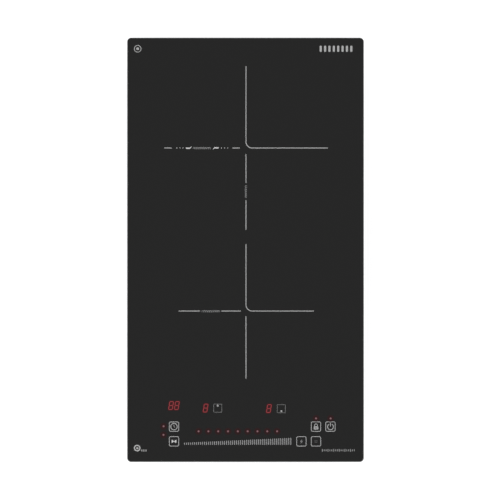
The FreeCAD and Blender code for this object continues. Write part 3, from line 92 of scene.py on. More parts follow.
class HobPrintSettings(bpy.types.PropertyGroup):
    """The ink on the glass and the light that shines through it."""
    ink_low: length("Ink underside", "Height of the ink's underside above the glass", 0.01 * MM)
    ink_high: length("Ink top", "Height of the ink's top above the glass", 0.03 * MM)
    line: length("Zone line", "Width of the lines that mark the zones", 1.0 * MM)
    corner: length("Line corner", "Radius where a zone's line turns", 7.6 * MM)
    cross: length("Centre", "Where the zones' centres lie across the glass", 0.6 * MM)
    rear: length("Rear zone", "Where the rear zone's centre lies along the glass", 124.8 * MM)
    front: length("Front zone", "Where the front zone's centre lies along the glass", -75.0 * MM)
    key: length("Key", "Outside width of a key's frame", 12.3 * MM)
    key_line: length("Key line", "Width of a key's frame", 0.75 * MM)
    digit: length("Digit height", "Height of a seven-segment digit", 10.6 * MM)
    digit_wide: length("Digit width", "Width of a seven-segment digit", 5.6 * MM)
    digit_stroke: length("Segment width", "Width of one lit segment", 0.95 * MM)
    lamp: length("Lamp", "Diameter of a lit dot", 2.4 * MM)
    grey: colour("Ink", "Colour of the grey ink", (0.24, 0.24, 0.24))
    dim: colour("Faint ink", "Colour of the faint ink", (0.11, 0.11, 0.11))
    bright: colour("Bright ink", "Colour of the brightest marks", (0.36, 0.36, 0.36))
    slider: colour("Slider ink", "Colour of the slider's bars", (0.165, 0.165, 0.167))
    red: colour("Digit light", "Colour of a lit digit", (0.3, 0.038, 0.045))
    red_dot: colour("Lamp light", "Colour of a lit dot", (0.21, 0.105, 0.12))
    # Painted glow: faint red light painted as emission round each lit digit and lamp, for their light
    # spreading in the glass
    painted_glow: colour("Haze", "Colour of the red haze round each light", (0.013, 0.0, 0.0005))
    painted_glow_reach: length("Haze width", "How far the haze reaches past a light", 3.0 * MM)


class HobFinishSettings(bpy.types.PropertyGroup):
    """Colours of the main surfaces."""
    glass: colour("Glass", "Colour of the black glass ceramic", (0.0088, 0.0088, 0.0087))
    steel: colour("Casing", "Colour of the galvanised casing", (0.4, 0.413, 0.428))
    spring: colour("Spring steel", "Colour of the clips and springs", (0.66, 0.67, 0.69))
    foam: colour("Seal", "Colour of the foam seal", (0.035, 0.035, 0.037))
    plastic: colour("Black plastic", "Colour of the moulded black parts", (0.022, 0.022, 0.024))
    copper: colour("Copper", "Colour of the varnished copper", (0.62, 0.25, 0.12))
    board: colour("Circuit board", "Colour of the boards' lacquer", (0.018, 0.13, 0.045))


class HobCoilSettings(bpy.types.PropertyGroup):
    """The stranded wire of the coils."""
    strand: length("Wire", "Width of the stranded wire", 3.2 * MM)
    lobes: bpy.props.IntProperty(name="Strands", description="Bundles twisted into the wire",
                                 default=5, min=3)
    twist: length("Twist", "Length of wire in which the bundles go round once", 22 * MM)
    eye: length("Eye", "Radius where the winding starts", 25 * MM)
    gap_at: length("Gap", "Radius of the gap between the two parts of a winding", 51 * MM)
    gap: length("Gap width", "Width of that gap", 5 * MM)


class HobStageSettings(bpy.types.PropertyGroup):
    """Floor, light and camera."""
    floor_size: length("Floor", "Side of the floor", 12.0)
    floor_gap: length("Floor gap", "How far the floor lies under the feet", 0.1 * MM)
    floor_glow: amount("Floor glow", "Light that the floor gives of itself", 0.72)
    sky_low: amount("Horizon", "Brightness of the surroundings at the horizon", 0.95)
    sky_high: amount("Zenith", "Brightness of the surroundings overhead", 0.16)
    lamp_power: amount("Softbox", "Power of each softbox, in watts", 26.0)
    lamp_size: length("Softbox size", "Side of each softbox", 1.6)
    lamp_far: length("Softbox distance", "How far each softbox stands from the hob", 2.3)
    view_wide: length("View", "Width of what the camera sees at the glass", 0.61270)
    view_across: length("View centre across", "The view's centre, from the glass's centre", 5.53 * MM)
    view_along: length("View centre along", "The view's centre, from the glass's centre", -0.2 * MM)
    lens: bpy.props.FloatProperty(name="Lens", description="Focal length in millimetres", default=120)
    sensor: bpy.props.FloatProperty(name="Sensor", description="Sensor width in millimetres", default=36)


# Node trees

def add_node(tree, kind, **values):
    """A node, with its sockets' values or its own settings given by name."""
    node = tree.nodes.new(kind)
    for name, value in values.items():
        label = name.replace("_", " ")
        socket = next((s for s in node.inputs if s.name == label), None)
        if socket is None:
            setattr(node, name, value)
        elif isinstance(value, bpy.types.NodeSocket):
            tree.links.new(value, socket)
        else:
            socket.default_value = value
    return node


def math_node(tree, operation, first, second=0.0):
    node = tree.nodes.new("ShaderNodeMath")
    node.operation = operation
    for socket, value in zip(node.inputs, (first, second)):
        if isinstance(value, bpy.types.NodeSocket):
            tree.links.new(value, socket)
        else:
            socket.default_value = value
    return node.outputs[0]


def ramp(tree, value, low, high):
    """0 where the value is at low, 1 where it is at high."""
    node = tree.nodes.new("ShaderNodeMapRange")
    node.interpolation_type = "SMOOTHSTEP"
    tree.links.new(value, node.inputs["Value"])
    node.inputs["From Min"].default_value = low
    node.inputs["From Max"].default_value = high
    return node.outputs["Result"]


def mix(tree, factor, first, second):
    """A colour between two, each of them a colour or a socket."""
    node = tree.nodes.new("ShaderNodeMix")
    node.data_type = "RGBA"
    for index, value in ((0, factor), (6, first), (7, second)):
        if isinstance(value, bpy.types.NodeSocket):
            tree.links.new(value, node.inputs[index])
        elif index == 0:
            node.inputs[index].default_value = value
        else:
            node.inputs[index].default_value = (*value[:3], 1.0)
    return node.outputs[2]


def new_group(name, inputs, outputs):
    """An empty shader node group with named sockets; gives the tree and its two end nodes."""
    tree = bpy.data.node_groups.new(name, "ShaderNodeTree")
    kinds = {"colour": "NodeSocketColor", "value": "NodeSocketFloat", "vector": "NodeSocketVector"}
    for label, kind, default in inputs:
        socket = tree.interface.new_socket(name=label, in_out="INPUT", socket_type=kinds[kind])
        if default is not None:
            socket.default_value = (*default, 1.0) if kind == "colour" else default
    for label, kind in outputs:
        tree.interface.new_socket(name=label, in_out="OUTPUT", socket_type=kinds[kind])
    return tree, tree.nodes.new("NodeGroupInput"), tree.nodes.new("NodeGroupOutput")


def place_noise(tree, scale, detail=3.0, stretch=(1, 1, 1)):
    """Noise in the piece's own space; stretch makes it longer or shorter along an axis."""
    where = tree.nodes.new("ShaderNodeTexCoord").outputs["Object"]
    mapping = add_node(tree, "ShaderNodeMapping", Vector=where, Scale=stretch)
    noise = add_node(tree, "ShaderNodeTexNoise", Vector=mapping.outputs[0], Detail=detail)
    if isinstance(scale, bpy.types.NodeSocket):
        tree.links.new(scale, noise.inputs["Scale"])
    else:
        noise.inputs["Scale"].default_value = scale
    return noise.outputs["Fac"]


def surface_group():
    """Grain, edge wear and dust over a colour."""
    tree, given, result = new_group(
        "Worn Surface",
        [("Colour", "colour", (0.5, 0.5, 0.5)), ("Grain Colour", "colour", (0.4, 0.4, 0.4)),
         ("Edge Colour", "colour", (0.7, 0.7, 0.7)), ("Grain Scale", "value", 400.0),
         ("Grain", "value", 0.3), ("Edge Wear", "value", 0.3), ("Edge Width", "value", 0.0006),
         ("Dust", "value", 0.1), ("Roughness", "value", 0.5)],
        [("Colour", "colour"), ("Roughness", "value"), ("Height", "value"), ("Edge Mask", "value")])
    fine = place_noise(tree, given.outputs["Grain Scale"], 4.0)
    broad = place_noise(tree, 18.0, 2.0)
    geometry = tree.nodes.new("ShaderNodeNewGeometry")
    bevel = tree.nodes.new("ShaderNodeBevel")
    tree.links.new(given.outputs["Edge Width"], bevel.inputs["Radius"])
    dot = tree.nodes.new("ShaderNodeVectorMath")
    dot.operation = "DOT_PRODUCT"
    tree.links.new(bevel.outputs[0], dot.inputs[0])
    tree.links.new(geometry.outputs["Normal"], dot.inputs[1])
    edge = ramp(tree, math_node(tree, "SUBTRACT", 1.0, dot.outputs["Value"]), 0.02, 0.16)
    edge = math_node(tree, "MULTIPLY", edge, ramp(tree, broad, 0.35, 0.65))
    edge = math_node(tree, "MULTIPLY", edge, given.outputs["Edge Wear"])
    grained = mix(tree, math_node(tree, "MULTIPLY", ramp(tree, fine, 0.3, 0.7), given.outputs["Grain"]),
                  given.outputs["Colour"], given.outputs["Grain Colour"])
    worn = mix(tree, edge, grained, given.outputs["Edge Colour"])
    upward = add_node(tree, "ShaderNodeSeparateXYZ", Vector=geometry.outputs["Normal"]).outputs["Z"]
    dust = math_node(tree, "MULTIPLY", ramp(tree, upward, 0.4, 1.0), ramp(tree, broad, 0.3, 0.8))
    dust = math_node(tree, "MULTIPLY", dust, given.outputs["Dust"])
    tree.links.new(mix(tree, dust, worn, (0.42, 0.4, 0.37)), result.inputs["Colour"])
    rough = math_node(tree, "MULTIPLY_ADD", fine, 0.12)
    rough.node.inputs[2].default_value = -0.06
    rough = math_node(tree, "ADD", rough, given.outputs["Roughness"])
    rough = math_node(tree, "ADD", rough, math_node(tree, "MULTIPLY", dust, 0.3))
    tree.links.new(math_node(tree, "SUBTRACT", rough, math_node(tree, "MULTIPLY", edge, 0.15)),
                   result.inputs["Roughness"])
    tree.links.new(fine, result.inputs["Height"])
    tree.links.new(edge, result.inputs["Edge Mask"])
    return tree


def spangle_group():
    """The crystal flowers of hot-dip galvanised sheet."""
    tree, given, result = new_group(
        "Zinc Spangle", [("Scale", "value", 90.0), ("Contrast", "value", 0.2)],
        [("Shade", "value"), ("Roughness", "value")])
    where = tree.nodes.new("ShaderNodeTexCoord").outputs["Object"]
    cells = add_node(tree, "ShaderNodeTexVoronoi", Vector=where, Randomness=1.0)
    tree.links.new(given.outputs["Scale"], cells.inputs["Scale"])
    shade = add_node(tree, "ShaderNodeSeparateColor", Color=cells.outputs["Color"]).outputs[0]
    centred = math_node(tree, "SUBTRACT", shade, 0.5)
    tree.links.new(math_node(tree, "MULTIPLY", centred, given.outputs["Contrast"]),
                   result.inputs["Shade"])
    tree.links.new(math_node(tree, "MULTIPLY", centred, 0.16), result.inputs["Roughness"])
    return tree


def brushed_group():
    """Fine scratches along one axis, for rolled and drawn metal."""
    tree, given, result = new_group(
        "Rolled Metal", [("Scale", "value", 60.0), ("Stretch", "vector", (1.0, 40.0, 40.0))],
        [("Streak", "value"), ("Height", "value")])
    where = tree.nodes.new("ShaderNodeTexCoord").outputs["Object"]
    mapping = add_node(tree, "ShaderNodeMapping", Vector=where)
    tree.links.new(given.outputs["Stretch"], mapping.inputs["Scale"])
    noise = add_node(tree, "ShaderNodeTexNoise", Vector=mapping.outputs[0], Detail=5.0)
    tree.links.new(given.outputs["Scale"], noise.inputs["Scale"])
    tree.links.new(ramp(tree, noise.outputs["Fac"], 0.3, 0.7), result.inputs["Streak"])
    tree.links.new(noise.outputs["Fac"], result.inputs["Height"])
    return tree


def board_group():
    """Copper tracks, ground fill and pads that show faintly through a board's lacquer."""
    tree, given, result = new_group(
        "Board Tracks", [("Pitch", "value", 260.0)],
        [("Track", "value"), ("Pad", "value"), ("Height", "value")])
    where = tree.nodes.new("ShaderNodeTexCoord").outputs["Object"]
    bricks = add_node(tree, "ShaderNodeTexBrick", Vector=where, Color1=(1, 1, 1, 1),
                      Color2=(0.75, 0.75, 0.75, 1), Mortar=(0, 0, 0, 1), Mortar_Size=0.09,
                      Brick_Width=2.4, Row_Height=0.6)
    tree.links.new(given.outputs["Pitch"], bricks.inputs["Scale"])
    cells = add_node(tree, "ShaderNodeTexVoronoi", Vector=where, Scale=170.0, Randomness=0.35)
    pad = ramp(tree, cells.outputs["Distance"], 0.24, 0.2)
    fill = ramp(tree, place_noise(tree, 22.0, 1.0), 0.48, 0.52)
    lines = add_node(tree, "ShaderNodeSeparateColor", Color=bricks.outputs["Color"]).outputs[0]
    track = math_node(tree, "MAXIMUM", math_node(tree, "MULTIPLY", lines, 0.55), fill)
    tree.links.new(track, result.inputs["Track"])
    tree.links.new(pad, result.inputs["Pad"])
    tree.links.new(math_node(tree, "ADD", track, pad), result.inputs["Height"])
    return tree


GROUPS = {}


def shared_group(key):
    """One of the shared node groups, built the first time that it is asked for."""
    makers = {"surface": surface_group, "spangle": spangle_group, "brushed": brushed_group,
              "board": board_group}
    if key not in GROUPS:
        GROUPS[key] = makers[key]()
    return GROUPS[key]


def use_group(tree, key, **values):
    node = tree.nodes.new("ShaderNodeGroup")
    node.node_tree = shared_group(key)
    for name, value in values.items():
        socket = node.inputs[name.replace("_", " ")]
        if socket.type == "RGBA" and not isinstance(value, bpy.types.NodeSocket):
            value = (*value[:3], 1.0)
        if isinstance(value, bpy.types.NodeSocket):
            tree.links.new(value, socket)
        else:
            socket.default_value = value
    return node


def shader(name, **values):
    """A new material and its Principled shader, with constants on the shader's own sockets."""
    made = bpy.data.materials.new(name)
    made.use_nodes = True
    principled = made.node_tree.nodes["Principled BSDF"]
    for label, value in values.items():
        principled.inputs[label.replace("_", " ")].default_value = value
    return made, made.node_tree, principled


def bump(tree, principled, height, strength, distance):
    node = add_node(tree, "ShaderNodeBump", Height=height)
    node.inputs["Strength"].default_value = strength
    node.inputs["Distance"].default_value = distance
    tree.links.new(node.outputs[0], principled.inputs["Normal"])


def worn_material(name, base, grain=None, edge=None, roughness=0.5, scale=400.0, amount=0.35,
                  wear=0.3, dust=0.08, relief=0.05, **values):
    """A material of the shared surface group: base colour, grain, worn edges and dust."""
    made, tree, principled = shader(name, **values)
    grain = grain or tinted(base, 0.8)
    edge = edge or [min(1.0, 1.4 * part + 0.03) for part in base]
    group = use_group(tree, "surface", Colour=base, Grain_Colour=grain, Edge_Colour=edge,
                      Grain_Scale=scale, Grain=amount, Edge_Wear=wear, Dust=dust,
                      Roughness=roughness)
    tree.links.new(group.outputs["Colour"], principled.inputs["Base Color"])
    tree.links.new(group.outputs["Roughness"], principled.inputs["Roughness"])
    bump(tree, principled, group.outputs["Height"], relief, 0.0004)
    return made


def sheet_steel(name, base, contrast=0.22):
    """Galvanised sheet: spangle in the colour and the gloss, with brighter cut edges."""
    made, tree, principled = shader(name, Metallic=0.85)
    spangle = use_group(tree, "spangle", Scale=85.0, Contrast=contrast)
    group = use_group(tree, "surface", Colour=base, Grain_Colour=tinted(base, 0.86),
                      Edge_Colour=[min(1.0, 1.25 * part) for part in base], Grain_Scale=150.0,
                      Grain=0.5, Edge_Wear=0.6, Dust=0.1, Roughness=0.42)
    shade = math_node(tree, "ADD", spangle.outputs["Shade"], 0.5)
    darker = mix(tree, shade, tinted(base, 0.72), [min(1.0, 1.3 * p) for p in base])
    tree.links.new(mix(tree, 0.5, group.outputs["Colour"], darker), principled.inputs["Base Color"])
    rough = math_node(tree, "ADD", group.outputs["Roughness"], spangle.outputs["Roughness"])
    tree.links.new(rough, principled.inputs["Roughness"])
    bump(tree, principled, group.outputs["Height"], 0.06, 0.0003)
    return made


def rolled_metal(name, base, roughness=0.3, stretch=(1.0, 40.0, 40.0), metallic=1.0):
    """Bare rolled or drawn metal with streaks along one axis."""
    made, tree, principled = shader(name, Metallic=metallic)
    streak = use_group(tree, "brushed", Stretch=stretch)
    group = use_group(tree, "surface", Colour=base, Grain_Colour=tinted(base, 0.7),
                      Edge_Colour=[min(1.0, 1.2 * part) for part in base], Grain_Scale=90.0,
                      Grain=0.35, Edge_Wear=0.5, Dust=0.05, Roughness=roughness)
    streaked = mix(tree, math_node(tree, "MULTIPLY", streak.outputs["Streak"], 0.35),
                   group.outputs["Colour"], tinted(base, 0.6))
    tree.links.new(streaked, principled.inputs["Base Color"])
    rough = math_node(tree, "MULTIPLY", streak.outputs["Streak"], 0.14)
    tree.links.new(math_node(tree, "ADD", rough, group.outputs["Roughness"]),
                   principled.inputs["Roughness"])
    bump(tree, principled, streak.outputs["Height"], 0.08, 0.0002)
    return made


def ink_material(name, base, glow=0.0):
    """Screen-printed ceramic ink, very slightly speckled, or lit from below if it glows."""
    made, tree, principled = shader(name, Roughness=0.1 if glow else 0.45, Emission_Strength=glow)
    speckle = place_noise(tree, 2600.0, 2.0)
    tone = mix(tree, ramp(tree, speckle, 0.35, 0.65), tinted(base, 0.9),
               [min(1.0, 1.08 * part) for part in base])
    if glow:
        tree.links.new(tone, principled.inputs["Emission Color"])
        principled.inputs["Base Color"].default_value = (0.008, 0.006, 0.006, 1.0)
    else:
        tree.links.new(tone, principled.inputs["Base Color"])
    return made


def finish_node(name, made):
    """Give a carried-over CAD node its material."""
    mesh = NODES[name].data
    mesh.materials.clear()
    mesh.materials.append(made)


def tinted(base, share):
    """A colour, with its light scaled by a share."""
    return [share * part for part in base]


# Flat shapes

def arc_points(x, y, radius, start, end, count):
    """Points round part of a circle, angles in degrees."""
    steps = [math.radians(start + (end - start) * k / (count - 1)) for k in range(count)]
    return [(x + radius * math.cos(a), y + radius * math.sin(a)) for a in steps]


def circle_points(x, y, radius, count=32):
    return arc_points(x, y, radius, 0, 360 - 360 / count, count)


def round_box(x, y, wide, high, radius, count=7):
    """A rectangle with round corners, centred on x, y."""
    points = []
    for side_x, side_y, start in ((1, 1, 0), (-1, 1, 90), (-1, -1, 180), (1, -1, 270)):
        points += arc_points(x + side_x * (wide / 2 - radius), y + side_y * (high / 2 - radius),
                             radius, start, start + 90, count)
    return points


def turned(points, x, y, angle):
    """Points turned about x, y by an angle in degrees."""
    c, s = math.cos(math.radians(angle)), math.sin(math.radians(angle))
    return [(x + (px - x) * c - (py - y) * s, y + (px - x) * s + (py - y) * c) for px, py in points]


class Print:
    """Flat closed shapes on top of the glass, gathered into one thin piece."""

    def __init__(self, layer=0):
        settings = bpy.context.scene.hob_print
        thick = settings.ink_high - settings.ink_low
        self.low = GLASS_HIGH.z + settings.ink_low + 2 * layer * thick
        self.high = self.low + thick
        self.mesh = bmesh.new()

    def ring_of(self, points, height):
        return [self.mesh.verts.new((x, y, height)) for x, y in points]

    def walls(self, upper, lower):
        for k in range(len(upper)):
            n = (k + 1) % len(upper)
            self.mesh.faces.new((upper[k], lower[k], lower[n], upper[n]))

    def slab(self, points):
        """A filled outline."""
        upper, lower = self.ring_of(points, self.high), self.ring_of(points, self.low)
        self.mesh.faces.new(upper)
        self.mesh.faces.new(lower[::-1])
        self.walls(upper, lower)

    def band(self, outer, inner):
        """What lies between two outlines of the same number of points."""
        upper_out, lower_out = self.ring_of(outer, self.high), self.ring_of(outer, self.low)
        upper_in, lower_in = self.ring_of(inner, self.high), self.ring_of(inner, self.low)
        for k in range(len(outer)):
            n = (k + 1) % len(outer)
            self.mesh.faces.new((upper_out[k], upper_out[n], upper_in[n], upper_in[k]))
            self.mesh.faces.new((lower_out[n], lower_out[k], lower_in[k], lower_in[n]))
        self.walls(upper_out, lower_out)
        self.walls(upper_in[::-1], lower_in[::-1])

    def stroke(self, points, width):
        """A line through the points with round ends."""
        path = [Vector(point) for point in points]
        ahead = [(b - a).normalized() for a, b in zip(path, path[1:])]
        left, right = [], []
        for k, point in enumerate(path):
            before, after = ahead[max(k - 1, 0)], ahead[min(k, len(ahead) - 1)]
            middle = (before + after).normalized()
            across = Vector((-middle.y, middle.x)) * (width / 2 / max(middle.dot(after), 0.3))
            left.append(tuple(point + across))
            right.append(tuple(point - across))
        tip = math.degrees(math.atan2(ahead[-1].y, ahead[-1].x))
        tail = math.degrees(math.atan2(ahead[0].y, ahead[0].x))
        end = arc_points(*path[-1], width / 2, tip + 75, tip - 75, 5)
        start = arc_points(*path[0], width / 2, tail + 255, tail + 105, 5)
        self.slab(left + end + right[::-1] + start)

    def frame(self, x, y, side, radius, width):
        """A square frame with round corners."""
        self.band(round_box(x, y, side, side, radius),
                  round_box(x, y, side - 2 * width, side - 2 * width, max(radius - width, width / 4)))

    def hoop(self, x, y, radius, width, count=40):
        self.band(circle_points(x, y, radius, count), circle_points(x, y, radius - width, count))

    def done(self, name, made, slot=None):
        """Turn the gathered shapes into a piece that rides with the casing."""
        bmesh.ops.recalc_face_normals(self.mesh, faces=self.mesh.faces)
        bmesh.ops.triangulate(self.mesh, faces=[f for f in self.mesh.faces if len(f.verts) > 4])
        mesh = bpy.data.meshes.new(name)
        self.mesh.to_mesh(mesh)
        self.mesh.free()
        mesh.materials.append(made)
        piece = bpy.data.objects.new(name, mesh)
        bpy.context.scene.collection.objects.link(piece)
        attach(piece, "casing")
        return piece


class HobOperator(bpy.types.Operator):
    """A step that makes one kind of piece."""
    bl_options = {"REGISTER", "UNDO"}


class HOB_OT_glass(HobOperator):
    """Give the glass ceramic its deep black gloss and ground edge"""
    bl_idname = "hob.glass"
    bl_label = "Glass"

    def execute(self, context):
        base = context.scene.hob_finish.glass
        made, tree, principled = shader("glass_ceramic", IOR=1.5)
        group = use_group(tree, "surface", Colour=base, Grain_Colour=tinted(base, 1.25),
                          Edge_Colour=(0.022, 0.022, 0.023), Grain_Scale=1500.0, Grain=0.5,
                          Edge_Wear=0.5, Edge_Width=0.0004, Dust=0.0, Roughness=0.07)
        tree.links.new(group.outputs["Colour"], principled.inputs["Base Color"])
        tree.links.new(group.outputs["Roughness"], principled.inputs["Roughness"])
        bump(tree, principled, place_noise(tree, 35.0, 1.0), 0.02, 0.0002)
        finish_node("glass_top", made)
        return {"FINISHED"}


def zone_lines(ink, x, centre, rear_end, side_end, corner, line):
    """The line that comes down from the rear edge of a zone and turns right at its centre."""
    bend = arc_points(x + corner, centre + corner, corner, 180, 270, 12)
    ink.stroke([(x, rear_end)] + bend + [(side_end, centre)], line)


def pan_icon(ink, x, y, angle):
    """A small filled pan in side view, its handle up to the right, turned about x, y."""
    body = [(x - 3.6 * MM, y + 0.55 * MM), (x + 1.9 * MM, y + 0.55 * MM), (x + 3.1 * MM, y + 1.7 * MM),
            (x + 3.9 * MM, y + 1.7 * MM), (x + 2.2 * MM, y - 0.3 * MM), (x + 1.7 * MM, y - 1.0 * MM),
            (x - 3.1 * MM, y - 1.0 * MM), (x - 3.6 * MM, y - 0.5 * MM)]
    ink.slab(turned(body, x, y, angle))


def coil_sign(ink, x, y, wide, turns, angle, line):
    """A row of small arches, like the turns of a coil from the side."""
    pitch = wide / turns
    radius, drop = 0.36 * pitch, 0.9 * MM
    for k in range(turns):
        centre = x + (k + 0.5) * pitch - wide / 2
        bow = arc_points(centre, y + 0.2 * MM, radius, 180, 0, 9)
        arch = [(centre - radius, y - drop)] + bow + [(centre + radius, y - drop)]
        ink.stroke(turned(arch, x, y, angle), line)


# Places in millimetres from the glass's centre, right and towards the rear.
UPRIGHT_LINES = ((116.8, 82.4), (60.4, 25.1), (-81.7, -157.5))
REAR_DASHES = ((-99.3, -90.7), (-15.6, -7.3))
FRONT_DASHES = ((-81.4, -56.0), (-29.2, -6.2))
DOT_ROWS = (-84.2, -29.4)
DOT_STEP, DOT_RADIUS = 3.8, 0.62
PANS = ((-69.6, 0), (-36.4, 180))
ARCH_LINE = 0.5


class HOB_OT_zones(HobOperator):
    """Print the crossing lines, dots and signs that mark the two zones"""
    bl_idname = "hob.zones"
    bl_label = "Zone print"

    def execute(self, context):
        settings = context.scene.hob_print
        line, x = settings.line, settings.cross
        lines, marks, signs = Print(), Print(), Print()
        rear, front = settings.rear, settings.front
        zone_lines(lines, x, rear, 224.6 * MM, 100.4 * MM, settings.corner, line)
        zone_lines(lines, x, front, 6.5 * MM, 83.3 * MM, settings.corner, line)
        for high, low in UPRIGHT_LINES:
            lines.stroke([(x, high * MM), (x, low * MM)], line)
        for dashes, along in ((REAR_DASHES, rear), (FRONT_DASHES, front)):
            for left, right in dashes:
                lines.stroke([(left * MM, along), (right * MM, along)], line)
        for start in DOT_ROWS:
            for k in range(3):
                lines.slab(circle_points((start + DOT_STEP * k) * MM, rear, DOT_RADIUS * MM, 16))
        for across, angle in PANS:
            pan_icon(marks, across * MM, rear, angle)
        coil_sign(signs, -53.4 * MM, rear - 0.3 * MM, 22 * MM, 9, 0, ARCH_LINE * MM)
        coil_sign(signs, -42.6 * MM, front - 0.4 * MM, 22.4 * MM, 9, 0, ARCH_LINE * MM)
        coil_sign(signs, x, 71.3 * MM, 15.4 * MM, 6, 90, ARCH_LINE * MM)
        lines.done("zone_lines", ink_material("zone_ink", settings.grey))
        marks.done("zone_marks", ink_material("mark_ink", settings.bright))
        signs.done("zone_signs", ink_material("sign_ink", tinted(settings.grey, 0.65)))
        return {"FINISHED"}


class HOB_OT_corner_marks(HobOperator):
    """Print plain neutral marks near the corners of the glass"""
    bl_idname = "hob.corner_marks"
    bl_label = "Corner marks"

    def execute(self, context):
        settings = context.scene.hob_print
        bright, faint = Print(), Print()
        bright.hoop(-132.1 * MM, 246.4 * MM, 4.5 * MM, 0.8 * MM)
        bright.slab(circle_points(-132.1 * MM, 246.4 * MM, 1.7 * MM))
        for k in range(8):
            bright.slab(round_box((92.2 + 5.35 * k) * MM, 246.4 * MM, 2.6 * MM, 7.6 * MM, 1.1 * MM))
        bright.hoop(-132.7 * MM, -242.9 * MM, 4.1 * MM, 1.5 * MM)
        bright.slab(circle_points(-132.6 * MM, -243.0 * MM, 1.3 * MM))
        for k in range(3):
            faint.slab(round_box((-127.0 + 2.5 * k) * MM, -245.9 * MM, 1.6 * MM, 2.6 * MM, 0.7 * MM))
        for k in range(18):
            high = (2.3 + 1.1 * (k % 3 == 0)) * MM
            faint.slab(round_box((94.2 + 2.3 * k) * MM, -245.7 * MM, 0.95 * MM, high, 0.3 * MM))
        bright.done("corner_marks", ink_material("corner_ink", settings.grey))
        faint.done("corner_dashes", ink_material("dash_ink", tinted(settings.dim, 1.4)))
        return {"FINISHED"}


SEGMENTS = {"top": (0.5, 1.0, 0), "middle": (0.5, 0.5, 0), "bottom": (0.5, 0.0, 0),
            "upper_left": (0.0, 0.75, 90), "upper_right": (1.0, 0.75, 90),
            "lower_left": (0.0, 0.25, 90), "lower_right": (1.0, 0.25, 90)}
DIGIT_LEAN = math.tan(math.radians(9))


def leaned(points, y):
    """Points moved sideways, more the higher they lie."""
    return [(px + (py - y) * DIGIT_LEAN, py) for px, py in points]


def eight(light, x, y, settings):
    """A leaning figure eight of seven lit segments, centred on x, y."""
    stroke = settings.digit_stroke
    wide, high = settings.digit_wide - stroke, settings.digit - stroke
    gap, half = 0.12 * MM, stroke / 2
    for across, up, angle in SEGMENTS.values():
        reach = (wide if angle == 0 else high / 2) / 2 - gap
        middle_x, middle_y = x + (across - 0.5) * wide, y + (up - 0.5) * high
        shape = [(-reach, 0), (-reach + half, -half), (reach - half, -half), (reach, 0),
                 (reach - half, half), (-reach + half, half)]
        points = [(middle_x + px, middle_y + py) for px, py in shape]
        light.slab(leaned(turned(points, middle_x, middle_y, angle), y))


DIGITS = ((-91.2, -190.8), (-84.1, -190.8), (-48.9, -193.9), (28.7, -194.5))
SLIDER_LAMPS = [(-57.5 + 12.03 * k, -222.4) for k in range(9)]
KEY_LAMPS = [(-100.4, -216.2), (-100.5, -226.7), (86.4, -206.6), (104.3, -206.6)]


class HOB_OT_displays(HobOperator):
    """Light the timer's two digits, a digit for each zone, and the small lamps, with a painted red glow
    round each
    """
    bl_idname = "hob.displays"
    bl_label = "Displays and lamps"

    def execute(self, context):
        settings = context.scene.hob_print
        digits, lamps, painted_glow, painted_digit_glow = Print(1), Print(1), Print(), Print()
        # Painted glow: an emissive patch round each digit and each lamp stands in for the light that
        # spreads from it
        reach = 2 * settings.painted_glow_reach
        for x, y in DIGITS:
            eight(digits, x * MM, y * MM, settings)
            glow = round_box(x * MM, y * MM, settings.digit_wide + 0.3 * reach,
                             settings.digit + 0.3 * reach, settings.painted_glow_reach / 2)
            painted_digit_glow.slab(leaned(glow, y * MM))
        for x, y in SLIDER_LAMPS + KEY_LAMPS:
            lamps.slab(circle_points(x * MM, y * MM, settings.lamp / 2, 24))
            painted_glow.slab(circle_points(x * MM, y * MM, (settings.lamp + reach) / 2, 24))
        digits.done("lit_digits", ink_material("digit_light", settings.red, 1.0), "display_face")
        painted_glow.done("lamp_painted_glow", ink_material("painted_lamp_glow_ink", settings.painted_glow, 1.0))
        painted_digit_glow.done("digit_painted_glow", ink_material("painted_digit_glow_ink", tinted(settings.painted_glow, 2.2), 1.0))
        lamps.done("lit_dots", ink_material("dot_light", settings.red_dot, 1.0), "lamp_lens")
        return {"FINISHED"}


BAR_COUNT, BAR_START, BAR_STEP, BAR_FOOT = 54, -74.7, 2.457, -238.9
BAR_SHORT, BAR_GROWTH = 2.5, 6.0
BAR_NARROW, BAR_WIDENING = 0.97, 0.05


class HOB_OT_slider(HobOperator):
    """Print the wedge of fine bars that the finger slides along"""
    bl_idname = "hob.slider"
    bl_label = "Slider"

    def execute(self, context):
        settings = context.scene.hob_print
        bars = Print()
        for k in range(BAR_COUNT):
            step = k / (BAR_COUNT - 1)
            high = BAR_SHORT + BAR_GROWTH * step
            wide = BAR_NARROW + BAR_WIDENING * step
            bars.slab(round_box((BAR_START + BAR_STEP * k) * MM, (BAR_FOOT + high / 2) * MM, wide * MM,
                                high * MM, 0.25 * MM, 3))
        bars.done("slider_bars", ink_material("slider_ink", settings.slider))
        return {"FINISHED"}


def clock_sign(ink, x, y):
    """A thick ring with two hands."""
    ink.hoop(x, y, 4.5 * MM, 1.1 * MM)
    ink.stroke([(x, y + 1.9 * MM), (x, y), (x + 1.1 * MM, y - 0.8 * MM)], 0.6 * MM)


def bow_sign(ink, x, y):
    """Two wedges that point at each other."""
    for side in (-1, 1):
        wedge = [(2.9, 1.8), (2.2, 1.8), (0.3, 0.35), (0.3, -0.35), (2.2, -1.8), (2.9, -1.8)]
        ink.slab([(x + side * px * MM, y + py * MM) for px, py in wedge])


def lock_sign(ink, x, y):
    """A padlock with a keyhole."""
    ink.band(round_box(x, y - 1.6 * MM, 5.6 * MM, 4.2 * MM, 0.8 * MM),
             round_box(x, y - 1.6 * MM, 1.2 * MM, 1.9 * MM, 0.5 * MM))
    side, low, high = 1.75 * MM, y + 0.6 * MM, y + 1.6 * MM
    bow = arc_points(x, high, side, 180, 0, 12)
    ink.stroke([(x - side, low)] + bow + [(x + side, low)], 0.9 * MM)


